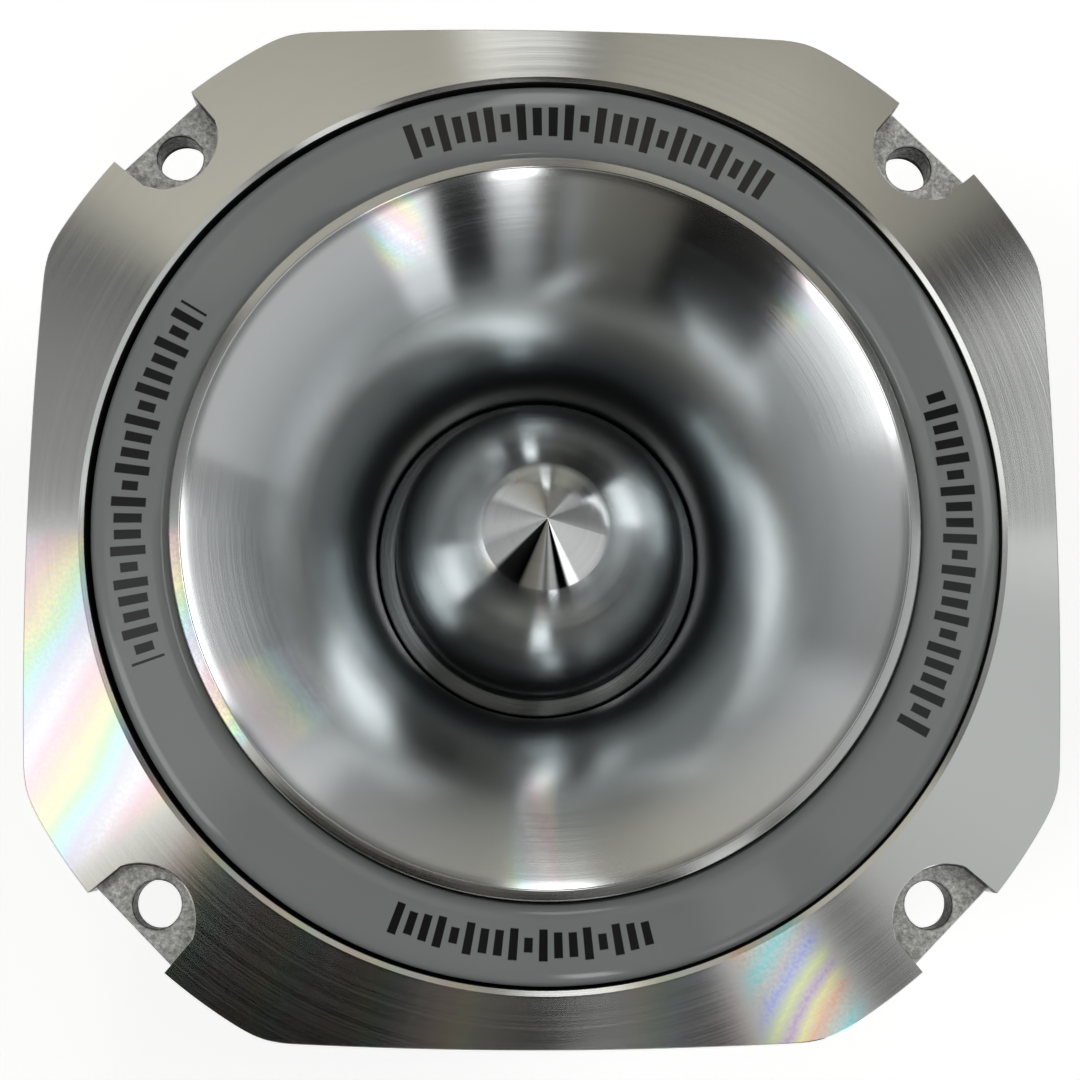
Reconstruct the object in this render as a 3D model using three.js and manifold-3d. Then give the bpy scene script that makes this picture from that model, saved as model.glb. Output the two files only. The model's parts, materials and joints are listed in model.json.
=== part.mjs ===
// A 98 mm bullet super tweeter: a compression ring radiator with a turned aluminium horn, a bullet phase
// plug, a ferrite motor and two push terminals. Millimetres. The motor's back stands on z = 0, the axis is
// +Z, the sound leaves along +Z and the terminals are on the -Y side.

import * as THREE from 'three';
import { mergeVertices } from 'three/addons/utils/BufferGeometryUtils.js';
import Module from 'manifold-3d';

const wasm = await Module();
wasm.setup();

// ---------------------------------------------------------------- driving dimensions

// Heights of the motor's stack, from the back up
const BACK_PLATE_TOP = 7;
const MAGNET_TOP = 23;
const TOP_PLATE_TOP = 29;
const THROAT_Z = 31.5;
const FACE_Z = 60;

// Square flange
const FLANGE_THICKNESS = 5;
const SIDE_HALF = 49.25;
const SIDE_BOW = 0.75;
const CORNER_RADIUS = 54.9;
const PAD_EDGE = 54.1;

// Corner pads and their mounting holes
const HOLE_SPACING = 72.4;
const HOLE_RADIUS = 2.25;
const PAD_DEPTH = 2;
const PAD_HALF_WIDTH = 5.1;
const PAD_INNER_HALF_WIDTH = 4.75;
const PAD_INNER_END = 47.95;
const PAD_END_RADIUS = 5.34;

// Horn mouth, flare and throat
const MOUTH_RADIUS = 34.7;
const LIP_RADIUS = 35.75;
const LIP_HEIGHT = 1;
const THROAT_RADIUS = 17.65;
const FLARE_POWER = 2.6;
const FLARE_STEPS = 7;
const NECK_STEPS = 4;
const WALL = 4.2;

// Groove for the decal ring
const GROOVE_RADIUS = 43.9;
const GROOVE_DEPTH = 3;
const GROOVE_CHAMFER = 0.5;
const GROOVE_CHAMFER_DEPTH = 0.13;

// Decal ring, seated a hair off centre
const DECAL_INNER = 36.1;
const DECAL_OUTER = 43.5;
const DECAL_BASE_THICKNESS = 1.2;
const DECAL_EDGE_THICKNESS = 0.9;
const DECAL_CROWN = 0.75;
const DECAL_SHIFT = 0.2;
const RESIN_INSET = 0.05;

// Bullet
const BULLET_LIP_RADIUS = 17.2;
const BULLET_LIP_HEIGHT = 0.8;
const BULLET_SLOPE_HEIGHT = 0.4;
const BULLET_WAIST_RADIUS = 15.1;
const BULLET_RADIUS = 15.3;
const BULLET_BELLY_Z = 39.6;
const BULLET_DOME_HEIGHT = 20.5;
const BULLET_DOME_POWER = 1.5;
const CONE_BASE_RADIUS = 6.3;
const TIP_HEIGHT = 1.2;
const BULLET_THREAD = { clearance: 0.25, beyondBolt: 2 };

// Motor
const FOOT_RADIUS = 44;
const FOOT_TOP = 37;
const FOOT_RECESS_RADIUS = 34.2;
const BOSS_RADIUS = 4.6;
const TOP_PLATE_HOLE = 18.3;
const MAGNET_RADIUS = 36;
const MAGNET_HOLE = 21;
const BACK_PLATE_RADIUS = 35;
const POLE_RADIUS = 16.4;
const POLE_SPIGOT_RADIUS = 10;
const PLATE_CHAMFER = 0.8;
const POLE_BACK = 0.5;
const COUNTERBORE_RADIUS = 6;
const BOLT_WASHER = { inner: 2.7, outer: 5.6 };

// Foam gasket behind the flange
const FLANGE_GASKET = { thickness: 1.5, inner: 46.6, inset: 0.6, hole: 2.6 };

// Diaphragm assembly
const COIL_INNER = 16.95;
const FORMER_THICKNESS = 0.2;
const WINDING_THICKNESS = 0.5;
const DIAPHRAGM_Z = 29.9;
const DIAPHRAGM_THICKNESS = 0.2;
const DIAPHRAGM_INNER = 13.4;
const DIAPHRAGM_OUTER = 21;
const FLAT_EDGE = 0.6;
const ROLL_HEIGHT = 0.75;
const CLAMP_TOP = 31.2;
const CLAMP_STEP_TOP = 29.4;
const OUTER_CLAMP = { wall: 33.6, step: 21.9, edge: 20.2 };
const INNER_CLAMP = { wall: 3.4, step: 12.6, edge: 14.3 };
const HORN_GASKET = { inner: 22.4, outer: 33.4 };
const FORMER_HEIGHTS = [22.4, 29.8];
const WINDING_HEIGHTS = [23.2, 28.4];
const WINDING_GAP = 0.05;
const LOCATING_PIN = { offset: 28, radius: 1, hole: 1.3, bottom: 25.3, top: 31 };

// Screws
const HORN_SCREW_CIRCLE = 39.6;
const HORN_SCREW = { shank: 1.9, head: 3.5, headHeight: 4, under: 52, end: 24.5 };
const BULLET_BOLT = { shank: 2.4, head: 4.25, headHeight: 5, under: 6.2, end: 43 };
const TERMINAL_SCREW = { shank: 0.95, head: 1.85, headHeight: 1.4, under: 9.5, end: 26 };
const CLEARANCE = 0.35;
const THREAD_CLEARANCE = 0.2;
const SOCKET_DEPTH = 0.55;

// Terminal block under the top plate's overhang
const BLOCK = { halfWidth: 11.5, inner: -36.8, outer: -45, bottom: 9.5, top: 23 };
const BORE_X = 4.9;
const BORE_Y = -41.2;
const BORE_RADIUS = 2.6;
const BORE_TOP = 20.5;
const BUTTON_RADIUS = 2.3;
const BUTTON_BOTTOM = 4.8;
const BUTTON_TOP = 14.8;
const BUTTON_TRAVEL = 2.5;
const WIRE_ENTRY_Z = 14;
const WIRE_ENTRY_RADIUS = 0.85;
const TERMINAL_SCREW_X = 9.45;
const TAPPED_HOLE = { radius: 1.15, top: 27 };
const BUTTON_EDGE = 0.4;
const BUTTON_SPRING = { radius: 1.6, turns: 3.5, wire: 0.25, gap: 0.2, sides: 4, steps: 30 };
const CONTACT_Y = -38.25;
const CONTACT = { halfWidth: 1.1, halfThickness: 0.25, bottom: 12.6, top: 22.6 };
const CONTACT_SLOT = { halfWidth: 1.4, outer: -39.2, inner: -37.7, bottom: 12.2 };

// Lead wires from the contacts to the voice coil
const LEAD_RADIUS = 0.55;
const LEAD_Z = 30.3;
const LEAD_HOLE_RADIUS = 1.15;
const LEAD_SLOT = { halfWidth: 1.2, outer: -39.8, inner: -33 };
const LEAD_CHANNEL = { halfWidth: 1, outer: -35, inner: -22.9 };

// Facets around a full turn, on large and on small round parts
const ROUND = 48;
const MEDIUM_ROUND = 36;
const SMALL_ROUND = 16;
const TINY_ROUND = 10;

// ---------------------------------------------------------------- materials

function material(color, roughness, metalness) {
  return new THREE.MeshStandardMaterial({ color, roughness, metalness });
}

const TURNED_ALUMINIUM = material(0xb4b7b2, 0.28, 1);
const POLISHED_ALUMINIUM = material(0xbfc3c4, 0.14, 1);
const DECAL_GREY = material(0x696e6e, 0.4, 0);
const CLEAR_RESIN = material(0x8d9291, 0.08, 0);
const ZINC_STEEL = material(0xa9aaa6, 0.35, 1);
const BLACK_STEEL = material(0x1c1c1d, 0.5, 0.6);
const FERRITE = material(0x2a2a2c, 0.75, 0);
const TITANIUM = material(0x9a9c9f, 0.3, 1);
const COPPER = material(0xb5673a, 0.3, 1);
const POLYIMIDE = material(0xa86a25, 0.4, 0);
const BRASS = material(0xc9a04a, 0.35, 1);
const BLACK_PLASTIC = material(0x151516, 0.5, 0);
const RED_PLASTIC = material(0xb01a1a, 0.4, 0);
const BUTTON_BLACK = material(0x202022, 0.4, 0);
const FIBRE = material(0x3b3a36, 0.9, 0);
const FOAM = material(0x222222, 0.95, 0);
const SPRING_STEEL = material(0x9fa2a4, 0.3, 1);

// ---------------------------------------------------------------- solids

// A solid of revolution about +Z from [radius, z] points. The profile ends on the axis or closes on itself.
function turned(profile, segments = ROUND) {
  const points = profile.map(([r, z]) => new THREE.Vector2(r, z));
  const onAxis = points[0].x === 0 && points.at(-1).x === 0;
  if (THREE.ShapeUtils.area(points) < 0) points.reverse();
  if (!onAxis) points.push(points[0].clone());
  return new THREE.LatheGeometry(points, segments).rotateX(Math.PI / 2);
}

function disc(radius, bottom, top, segments = ROUND) {
  return turned([[0, bottom], [radius, bottom], [radius, top], [0, top]], segments);
}

function ring(inner, outer, bottom, top, segments = ROUND) {
  return turned([[inner, bottom], [outer, bottom], [outer, top], [inner, top]], segments);
}

function box(x0, x1, y0, y1, z0, z1) {
  const geometry = new THREE.BoxGeometry(x1 - x0, y1 - y0, z1 - z0);
  return geometry.translate((x0 + x1) / 2, (y0 + y1) / 2, (z0 + z1) / 2);
}

function slab(shape, bottom, top, curveSegments = 8) {
  const options = { depth: top - bottom, bevelEnabled: false, curveSegments };
  return new THREE.ExtrudeGeometry(shape, options).translate(0, 0, bottom);
}

function toSolid(geometry) {
  const bare = new THREE.BufferGeometry();
  bare.setAttribute('position', geometry.getAttribute('position'));
  bare.setIndex(geometry.getIndex());
  const merged = mergeVertices(bare, 1e-4);
  const corners = merged.getIndex().array;
  const kept = [];
  for (let i = 0; i < corners.length; i += 3) {
    const [a, b, c] = [corners[i], corners[i + 1], corners[i + 2]];
    if (a !== b && b !== c && c !== a) kept.push(a, b, c);
  }
  const vertProperties = new Float32Array(merged.getAttribute('position').array);
  return new wasm.Manifold(new wasm.Mesh({ numProp: 3, vertProperties, triVerts: new Uint32Array(kept) }));
}

function toGeometry(solid) {
  const mesh = solid.getMesh();
  const geometry = new THREE.BufferGeometry();
  geometry.setAttribute('position', new THREE.BufferAttribute(mesh.vertProperties, 3));
  geometry.setIndex(new THREE.BufferAttribute(mesh.triVerts, 1));
  geometry.computeVertexNormals();
  return geometry;
}

// One solid: the first geometry, joined with the others in joins and cut by those in cuts
function carve(base, { joins = [], cuts = [] }) {
  let solid = toSolid(base);
  for (const piece of joins) solid = solid.add(toSolid(piece));
  for (const piece of cuts) solid = solid.subtract(toSolid(piece));
  return toGeometry(solid);
}

// ---------------------------------------------------------------- flange outline

const QUARTERS = [0, 1, 2, 3].map((i) => i * Math.PI / 2);
const DIAGONALS = QUARTERS.map((angle) => angle + Math.PI / 4);

// Four bowed sides, joined at the corners by arcs about the axis
function flangeShape(inset = 0) {
  const half = SIDE_HALF - SIDE_BOW - inset;
  const corner = CORNER_RADIUS - inset;
  const end = Math.sqrt(corner ** 2 - half ** 2);
  const sideRadius = (end ** 2 + SIDE_BOW ** 2) / (2 * SIDE_BOW);
  const sideSweep = Math.asin(end / sideRadius);
  const sideCentre = SIDE_HALF - inset - sideRadius;
  const cornerStart = Math.atan2(end, half);
  const shape = new THREE.Shape();
  for (const turn of QUARTERS) {
    const [x, y] = [Math.cos(turn) * sideCentre, Math.sin(turn) * sideCentre];
    shape.absarc(x, y, sideRadius, turn - sideSweep, turn + sideSweep, false);
    shape.absarc(0, 0, corner, turn + cornerStart, turn + Math.PI / 2 - cornerStart, false);
  }
  return shape;
}

// A corner pad's U: open outwards, with a round inner end, on the +X axis
function padShape() {
  const shape = new THREE.Shape();
  const centre = PAD_INNER_END + PAD_END_RADIUS;
  const sweep = Math.asin(PAD_INNER_HALF_WIDTH / PAD_END_RADIUS);
  const beyond = CORNER_RADIUS + 2;
  shape.moveTo(beyond, -PAD_HALF_WIDTH);
  shape.lineTo(beyond, PAD_HALF_WIDTH);
  shape.lineTo(CORNER_RADIUS, PAD_HALF_WIDTH);
  shape.absarc(centre, 0, PAD_END_RADIUS, Math.PI - sweep, Math.PI + sweep, false);
  shape.lineTo(CORNER_RADIUS, -PAD_HALF_WIDTH);
  shape.closePath();
  return shape;
}

function holeAt(angle, distance, radius, bottom, top) {
  return disc(radius, bottom, top, SMALL_ROUND).translate(distance, 0, 0).rotateZ(angle);
}

// ---------------------------------------------------------------- horn

// Flare radius at height z: slow at the throat, wide open at the mouth
function flareRadius(z) {
  const t = (z - THROAT_Z) / (FACE_Z + LIP_HEIGHT - THROAT_Z);
  return THROAT_RADIUS + (MOUTH_RADIUS - THROAT_RADIUS) * t ** FLARE_POWER;
}

function flarePoints(offset, from, to, steps) {
  const points = [];
  for (let i = 0; i <= steps; i += 1) {
    const z = from + (to - from) * i / steps;
    points.push([flareRadius(z) + offset, z]);
  }
  return points;
}

function hornBody() {
  const neck = flarePoints(WALL, FOOT_TOP, FACE_Z - FLANGE_THICKNESS, NECK_STEPS);
  const outside = [[0, TOP_PLATE_TOP], [FOOT_RADIUS, TOP_PLATE_TOP], [FOOT_RADIUS, FOOT_TOP]];
  const inFlange = FACE_Z - FLANGE_THICKNESS / 2;
  return turned([...outside, ...neck, [neck.at(-1)[0], inFlange], [0, inFlange]]);
}

function hornCavity() {
  const flare = flarePoints(0, THROAT_Z, FACE_Z + LIP_HEIGHT, FLARE_STEPS);
  const above = FACE_Z + LIP_HEIGHT + 1;
  const below = THROAT_Z - 1;
  return turned([[0, below], [THROAT_RADIUS, below], ...flare, [MOUTH_RADIUS, above], [0, above]]);
}

function groove() {
  const floor = FACE_Z - GROOVE_DEPTH;
  const above = FACE_Z + LIP_HEIGHT + 1;
  return turned([
    [LIP_RADIUS, floor], [GROOVE_RADIUS, floor], [GROOVE_RADIUS, FACE_Z - GROOVE_CHAMFER_DEPTH],
    [GROOVE_RADIUS + GROOVE_CHAMFER, FACE_Z], [GROOVE_RADIUS + GROOVE_CHAMFER, above], [LIP_RADIUS, above],
  ]);
}

// Cuts the pad's recess, its straight outer edge and its mounting hole
function padCuts(angle) {
  const padTop = FACE_Z - PAD_DEPTH;
  const bottom = FACE_Z - FLANGE_THICKNESS - 1;
  return [
    slab(padShape(), padTop, FACE_Z + 1, 7).rotateZ(angle),
    box(PAD_EDGE, PAD_EDGE + 4, -PAD_HALF_WIDTH, PAD_HALF_WIDTH, bottom, FACE_Z + 1).rotateZ(angle),
    holeAt(angle, HOLE_SPACING / Math.SQRT2, HOLE_RADIUS, bottom, FACE_Z),
  ];
}

function hornScrewCuts(angle) {
  const { shank, head, under } = HORN_SCREW;
  return [
    holeAt(angle, HORN_SCREW_CIRCLE, shank + CLEARANCE, TOP_PLATE_TOP - 1, FACE_Z),
    holeAt(angle, HORN_SCREW_CIRCLE, head + CLEARANCE, under, FACE_Z),
  ];
}

function leadSlot(side) {
  const x = side * BORE_X;
  const { halfWidth, outer, inner } = LEAD_SLOT;
  return box(x - halfWidth, x + halfWidth, outer, inner, TOP_PLATE_TOP - 1, THROAT_Z);
}

function hornFrame() {
  const flange = slab(flangeShape(), FACE_Z - FLANGE_THICKNESS, FACE_Z, 5);
  const lip = disc(LIP_RADIUS, FACE_Z - FLANGE_THICKNESS / 2, FACE_Z + LIP_HEIGHT);
  const bosses = DIAGONALS.map((angle) => (
    holeAt(angle, HORN_SCREW_CIRCLE, BOSS_RADIUS, FOOT_TOP - 1, FACE_Z - FLANGE_THICKNESS / 2)));
  const recess = disc(FOOT_RECESS_RADIUS, TOP_PLATE_TOP - 1, THROAT_Z);
  return carve(flange, {
    joins: [hornBody(), ...bosses, lip],
    cuts: [
      hornCavity(), groove(), recess, leadSlot(1), leadSlot(-1),
      ...DIAGONALS.flatMap(padCuts), ...DIAGONALS.flatMap(hornScrewCuts),
    ],
  });
}

function mountingGasket() {
  const { thickness, inner, inset, hole } = FLANGE_GASKET;
  const top = FACE_Z - FLANGE_THICKNESS;
  const bottom = top - thickness;
  const cuts = DIAGONALS.map((angle) => holeAt(angle, HOLE_SPACING / Math.SQRT2, hole, bottom - 1, top + 1));
  cuts.push(disc(inner, bottom - 1, top + 1));
  return carve(slab(flangeShape(inset), bottom, top, 3), { cuts });
}

// ---------------------------------------------------------------- decal ring

const DECAL_SEAT = FACE_Z - GROOVE_DEPTH;

function decalBaseRing() {
  const top = DECAL_SEAT + DECAL_BASE_THICKNESS;
  return ring(DECAL_INNER, DECAL_OUTER, DECAL_SEAT, top).translate(DECAL_SHIFT, 0, 0);
}

// Clear resin with a domed top, as surface tension leaves it
function decalResinRing() {
  const bottom = DECAL_SEAT + DECAL_BASE_THICKNESS;
  const middle = (DECAL_INNER + DECAL_OUTER) / 2;
  const half = (DECAL_OUTER - DECAL_INNER) / 2 - RESIN_INSET;
  const dome = [1, 0.7, 0, -0.7, -1].map((u) => (
    [middle + half * u, bottom + DECAL_EDGE_THICKNESS + DECAL_CROWN * (1 - u ** 4)]));
  return turned([[middle - half, bottom], [middle + half, bottom], ...dome]).translate(DECAL_SHIFT, 0, 0);
}

// ---------------------------------------------------------------- bullet

// Bullet radius at a part of the dome's height: a belly that draws in towards the cone
function domeRadius(part) {
  return BULLET_RADIUS * (1 - part ** BULLET_DOME_POWER) ** (1 / BULLET_DOME_POWER);
}

function bullet() {
  const conePart = (1 - (CONE_BASE_RADIUS / BULLET_RADIUS) ** BULLET_DOME_POWER) ** (1 / BULLET_DOME_POWER);
  const dome = [0, 0.25, 0.45, 0.65, 0.83, 1].map((u) => (
    [domeRadius(u * conePart), BULLET_BELLY_Z + BULLET_DOME_HEIGHT * u * conePart]));
  const lipTop = THROAT_Z + BULLET_LIP_HEIGHT;
  const thread = BULLET_BOLT.shank + BULLET_THREAD.clearance;
  const threadTop = BULLET_BOLT.end + BULLET_THREAD.beyondBolt;
  return turned([
    [0, threadTop + thread / 2], [thread, threadTop], [thread, THROAT_Z], [BULLET_LIP_RADIUS, THROAT_Z],
    [BULLET_LIP_RADIUS, lipTop], [BULLET_WAIST_RADIUS, lipTop + BULLET_SLOPE_HEIGHT], ...dome,
    [0, FACE_Z + TIP_HEIGHT],
  ]);
}

// ---------------------------------------------------------------- motor

function plate(inner, outer, bottom, top) {
  const c = PLATE_CHAMFER;
  return turned([
    [inner, bottom], [outer - c, bottom], [outer, bottom + c],
    [outer, top - c], [outer - c, top], [inner, top],
  ]);
}

function topPlate() {
  const [below, above] = [MAGNET_TOP - 1, TOP_PLATE_TOP + 1];
  const cuts = DIAGONALS.map((angle) => (
    holeAt(angle, HORN_SCREW_CIRCLE, HORN_SCREW.shank + THREAD_CLEARANCE, below, above)));
  const { hole, offset, bottom } = LOCATING_PIN;
  for (const side of [1, -1]) {
    cuts.push(disc(LEAD_HOLE_RADIUS, below, above, TINY_ROUND).translate(side * BORE_X, CONTACT_Y, 0));
    cuts.push(disc(TAPPED_HOLE.radius, below, TAPPED_HOLE.top, TINY_ROUND)
      .translate(side * TERMINAL_SCREW_X, BORE_Y, 0));
    cuts.push(disc(hole, bottom - CLEARANCE, above, TINY_ROUND).translate(side * offset, 0, 0));
  }
  return carve(plate(TOP_PLATE_HOLE, FOOT_RADIUS, MAGNET_TOP, TOP_PLATE_TOP), { cuts });
}

function polePiece() {
  const bolt = BULLET_BOLT.shank + CLEARANCE;
  return turned([
    [COUNTERBORE_RADIUS, POLE_BACK], [POLE_SPIGOT_RADIUS, POLE_BACK], [POLE_SPIGOT_RADIUS, BACK_PLATE_TOP],
    [POLE_RADIUS, BACK_PLATE_TOP], [POLE_RADIUS, TOP_PLATE_TOP], [bolt, TOP_PLATE_TOP],
    [bolt, BACK_PLATE_TOP], [COUNTERBORE_RADIUS, BACK_PLATE_TOP],
  ], MEDIUM_ROUND);
}

// A thin clamp ring with a lower step on the side that faces the diaphragm's edge
function clampRing({ wall, step, edge }, top) {
  return turned([
    [wall, TOP_PLATE_TOP], [edge, TOP_PLATE_TOP], [edge, CLAMP_STEP_TOP],
    [step, CLAMP_STEP_TOP], [step, top], [wall, top],
  ], MEDIUM_ROUND);
}

function outerClamp() {
  const cuts = [];
  const { halfWidth, outer, inner } = LEAD_CHANNEL;
  const { hole, offset } = LOCATING_PIN;
  for (const side of [1, -1]) {
    const x = side * BORE_X;
    cuts.push(box(x - halfWidth, x + halfWidth, outer, inner, CLAMP_STEP_TOP, CLAMP_TOP + 1));
    cuts.push(disc(hole, TOP_PLATE_TOP - 1, CLAMP_TOP + 1, TINY_ROUND).translate(side * offset, 0, 0));
  }
  return carve(clampRing(OUTER_CLAMP, CLAMP_TOP), { cuts });
}

function diaphragm() {
  const valley = COIL_INNER + FORMER_THICKNESS / 2;
  const roll = (from, to) => [0, 0.3, 0.7].map((u) => (
    [from + (to - from) * u, DIAPHRAGM_Z + ROLL_HEIGHT * Math.sin(Math.PI * u)]));
  const under = [
    [DIAPHRAGM_INNER, DIAPHRAGM_Z], ...roll(DIAPHRAGM_INNER + FLAT_EDGE, valley),
    ...roll(valley, DIAPHRAGM_OUTER - FLAT_EDGE), [DIAPHRAGM_OUTER - FLAT_EDGE, DIAPHRAGM_Z],
    [DIAPHRAGM_OUTER, DIAPHRAGM_Z],
  ];
  const over = under.map(([r, z]) => [r, z + DIAPHRAGM_THICKNESS]).reverse();
  return turned([...under, ...over], MEDIUM_ROUND);
}

// ---------------------------------------------------------------- screws

// A socket screw about +Z: `up` is 1 where the shank points up from the head, -1 where it points down
function socketScrew({ shank, head, headHeight, under, end }, up) {
  const headEnd = under - up * headHeight;
  const socketFloor = headEnd + up * headHeight * SOCKET_DEPTH;
  const body = turned([
    [0, headEnd], [head, headEnd], [head, under], [shank, under], [shank, end], [0, end],
  ], SMALL_ROUND);
  const [low, high] = [headEnd - up, socketFloor].sort((a, b) => a - b);
  const socket = disc(head / 2, low, high, 6);
  return carve(body, { cuts: [socket] });
}

// ---------------------------------------------------------------- terminals

function terminalBlock() {
  const cuts = [];
  for (const side of [1, -1]) {
    const x = side * BORE_X;
    const entryDepth = BORE_Y - BLOCK.outer + 2;
    cuts.push(disc(BORE_RADIUS, BLOCK.bottom - 1, BORE_TOP, SMALL_ROUND).translate(x, BORE_Y, 0));
    const { halfWidth, outer, inner, bottom } = CONTACT_SLOT;
    cuts.push(box(x - halfWidth, x + halfWidth, outer, inner, bottom, BLOCK.top + 1));
    cuts.push(disc(TERMINAL_SCREW.shank + THREAD_CLEARANCE, BLOCK.bottom - 1, BLOCK.top + 1, TINY_ROUND)
      .translate(side * TERMINAL_SCREW_X, BORE_Y, 0));
    cuts.push(disc(WIRE_ENTRY_RADIUS + 0.15, 0, entryDepth, TINY_ROUND).rotateX(-Math.PI / 2)
      .translate(x, BLOCK.outer - 1, WIRE_ENTRY_Z));
  }
  const block = box(-BLOCK.halfWidth, BLOCK.halfWidth, BLOCK.outer, BLOCK.inner, BLOCK.bottom, BLOCK.top);
  return carve(block, { cuts });
}

// A push post with a cross hole that lines up with the block's wire entry when it is pressed
function terminalButton(x) {
  const body = turned([
    [0, BUTTON_BOTTOM], [BUTTON_RADIUS - BUTTON_EDGE, BUTTON_BOTTOM],
    [BUTTON_RADIUS, BUTTON_BOTTOM + BUTTON_EDGE],
    [BUTTON_RADIUS, BUTTON_TOP], [0, BUTTON_TOP],
  ], SMALL_ROUND);
  const reach = BUTTON_RADIUS + 1;
  const crossHole = disc(WIRE_ENTRY_RADIUS, -reach, reach, TINY_ROUND).rotateX(Math.PI / 2)
    .translate(0, 0, WIRE_ENTRY_Z - BUTTON_TRAVEL);
  return carve(body, { cuts: [crossHole] }).translate(x, BORE_Y, 0);
}

class Helix extends THREE.Curve {
  constructor(radius, turns, bottom, top) {
    super();
    Object.assign(this, { radius, turns, bottom, top });
  }

  getPoint(t, target = new THREE.Vector3()) {
    const angle = t * this.turns * 2 * Math.PI;
    const z = this.bottom + (this.top - this.bottom) * t;
    return target.set(this.radius * Math.cos(angle), this.radius * Math.sin(angle), z);
  }
}

function tube(curve, radius, sides, steps) {
  const section = new THREE.Shape();
  for (let i = 0; i < sides; i += 1) {
    const angle = (i / sides) * 2 * Math.PI;
    const point = [radius * Math.cos(angle), radius * Math.sin(angle)];
    if (i === 0) section.moveTo(...point);
    else section.lineTo(...point);
  }
  section.closePath();
  return new THREE.ExtrudeGeometry(section, { steps, extrudePath: curve });
}

function buttonSpring(x) {
  const { radius, turns, wire, gap, sides, steps } = BUTTON_SPRING;
  const path = new Helix(radius, turns, BUTTON_TOP + gap + wire, BORE_TOP - gap - wire);
  return tube(path, wire, sides, steps).translate(x, BORE_Y, 0);
}

function contactStrip(x) {
  const { halfWidth, halfThickness, bottom, top } = CONTACT;
  return box(x - halfWidth, x + halfWidth, CONTACT_Y - halfThickness, CONTACT_Y + halfThickness, bottom, top);
}

// From the contact up through the top plate, then along the clamp ring's channel to the coil
function leadWire(x) {
  const route = [
    [22.9, CONTACT_Y], [25, CONTACT_Y], [27.4, CONTACT_Y], [29.3, CONTACT_Y + 0.15],
    [LEAD_Z - 0.2, CONTACT_Y + 0.9], [LEAD_Z, CONTACT_Y + 2.2], [LEAD_Z, -32], [LEAD_Z, -28], [LEAD_Z, -23.3],
  ];
  const curve = new THREE.CatmullRomCurve3(route.map(([z, y]) => new THREE.Vector3(x, y, z)));
  return tube(curve, LEAD_RADIUS, 8, 16);
}

// ---------------------------------------------------------------- assembly

const tweeter = new THREE.Group();

function place(name, geometry, finish) {
  const mesh = new THREE.Mesh(geometry, finish);
  mesh.name = name;
  tweeter.add(mesh);
  return mesh;
}

place('horn_frame', hornFrame(), TURNED_ALUMINIUM);
place('decal_base_ring', decalBaseRing(), DECAL_GREY);
place('decal_resin_ring', decalResinRing(), CLEAR_RESIN);
place('bullet', bullet(), POLISHED_ALUMINIUM);
place('mounting_gasket', mountingGasket(), FOAM);

place('horn_gasket', ring(HORN_GASKET.inner, HORN_GASKET.outer, CLAMP_TOP, THROAT_Z), FIBRE);
place('diaphragm_clamp_outer', outerClamp(), BLACK_PLASTIC);
place('diaphragm_clamp_inner', clampRing(INNER_CLAMP, THROAT_Z), BLACK_PLASTIC);
place('diaphragm', diaphragm(), TITANIUM);

const FORMER_OUTER = COIL_INNER + FORMER_THICKNESS;
place('voice_coil_former', ring(COIL_INNER, FORMER_OUTER, ...FORMER_HEIGHTS, MEDIUM_ROUND), POLYIMIDE);
const WINDING_OUTER = FORMER_OUTER + WINDING_THICKNESS;
place('voice_coil_winding',
  ring(FORMER_OUTER + WINDING_GAP, WINDING_OUTER, ...WINDING_HEIGHTS, MEDIUM_ROUND), COPPER);

place('top_plate', topPlate(), ZINC_STEEL);
place('magnet', ring(MAGNET_HOLE, MAGNET_RADIUS, BACK_PLATE_TOP, MAGNET_TOP), FERRITE);
place('back_plate', plate(POLE_SPIGOT_RADIUS + 0.1, BACK_PLATE_RADIUS, 0, BACK_PLATE_TOP), ZINC_STEEL);
place('pole_piece', polePiece(), BLACK_STEEL);
place('bullet_bolt', socketScrew(BULLET_BOLT, 1), BLACK_STEEL);
place('bullet_washer',
  ring(BOLT_WASHER.inner, BOLT_WASHER.outer, BULLET_BOLT.under, BACK_PLATE_TOP, SMALL_ROUND), ZINC_STEEL);

DIAGONALS.forEach((angle, i) => {
  const screw = socketScrew(HORN_SCREW, -1).translate(HORN_SCREW_CIRCLE, 0, 0).rotateZ(angle);
  place(`horn_screw_${i + 1}`, screw, BLACK_STEEL);
});

place('terminal_block', terminalBlock(), BLACK_PLASTIC);
[[1, 'red', RED_PLASTIC], [-1, 'black', BUTTON_BLACK]].forEach(([side, colour, finish], i) => {
  const x = side * BORE_X;
  place(`terminal_button_${colour}`, terminalButton(x), finish);
  place(`button_spring_${colour}`, buttonSpring(x), SPRING_STEEL);
  place(`contact_${colour}`, contactStrip(x), BRASS);
  place(`lead_wire_${colour}`, leadWire(x), finish);
  const screw = socketScrew(TERMINAL_SCREW, 1).translate(side * TERMINAL_SCREW_X, BORE_Y, 0);
  place(`terminal_screw_${i + 1}`, screw, ZINC_STEEL);
  const pin = disc(LOCATING_PIN.radius, LOCATING_PIN.bottom, LOCATING_PIN.top, TINY_ROUND);
  place(`locating_pin_${i + 1}`, pin.translate(side * LOCATING_PIN.offset, 0, 0), ZINC_STEEL);
});

export default tweeter;
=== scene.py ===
"""Looks for a bullet super tweeter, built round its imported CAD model."""
import json
import math

import bmesh
import bpy
from mathutils import Matrix, Vector


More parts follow.
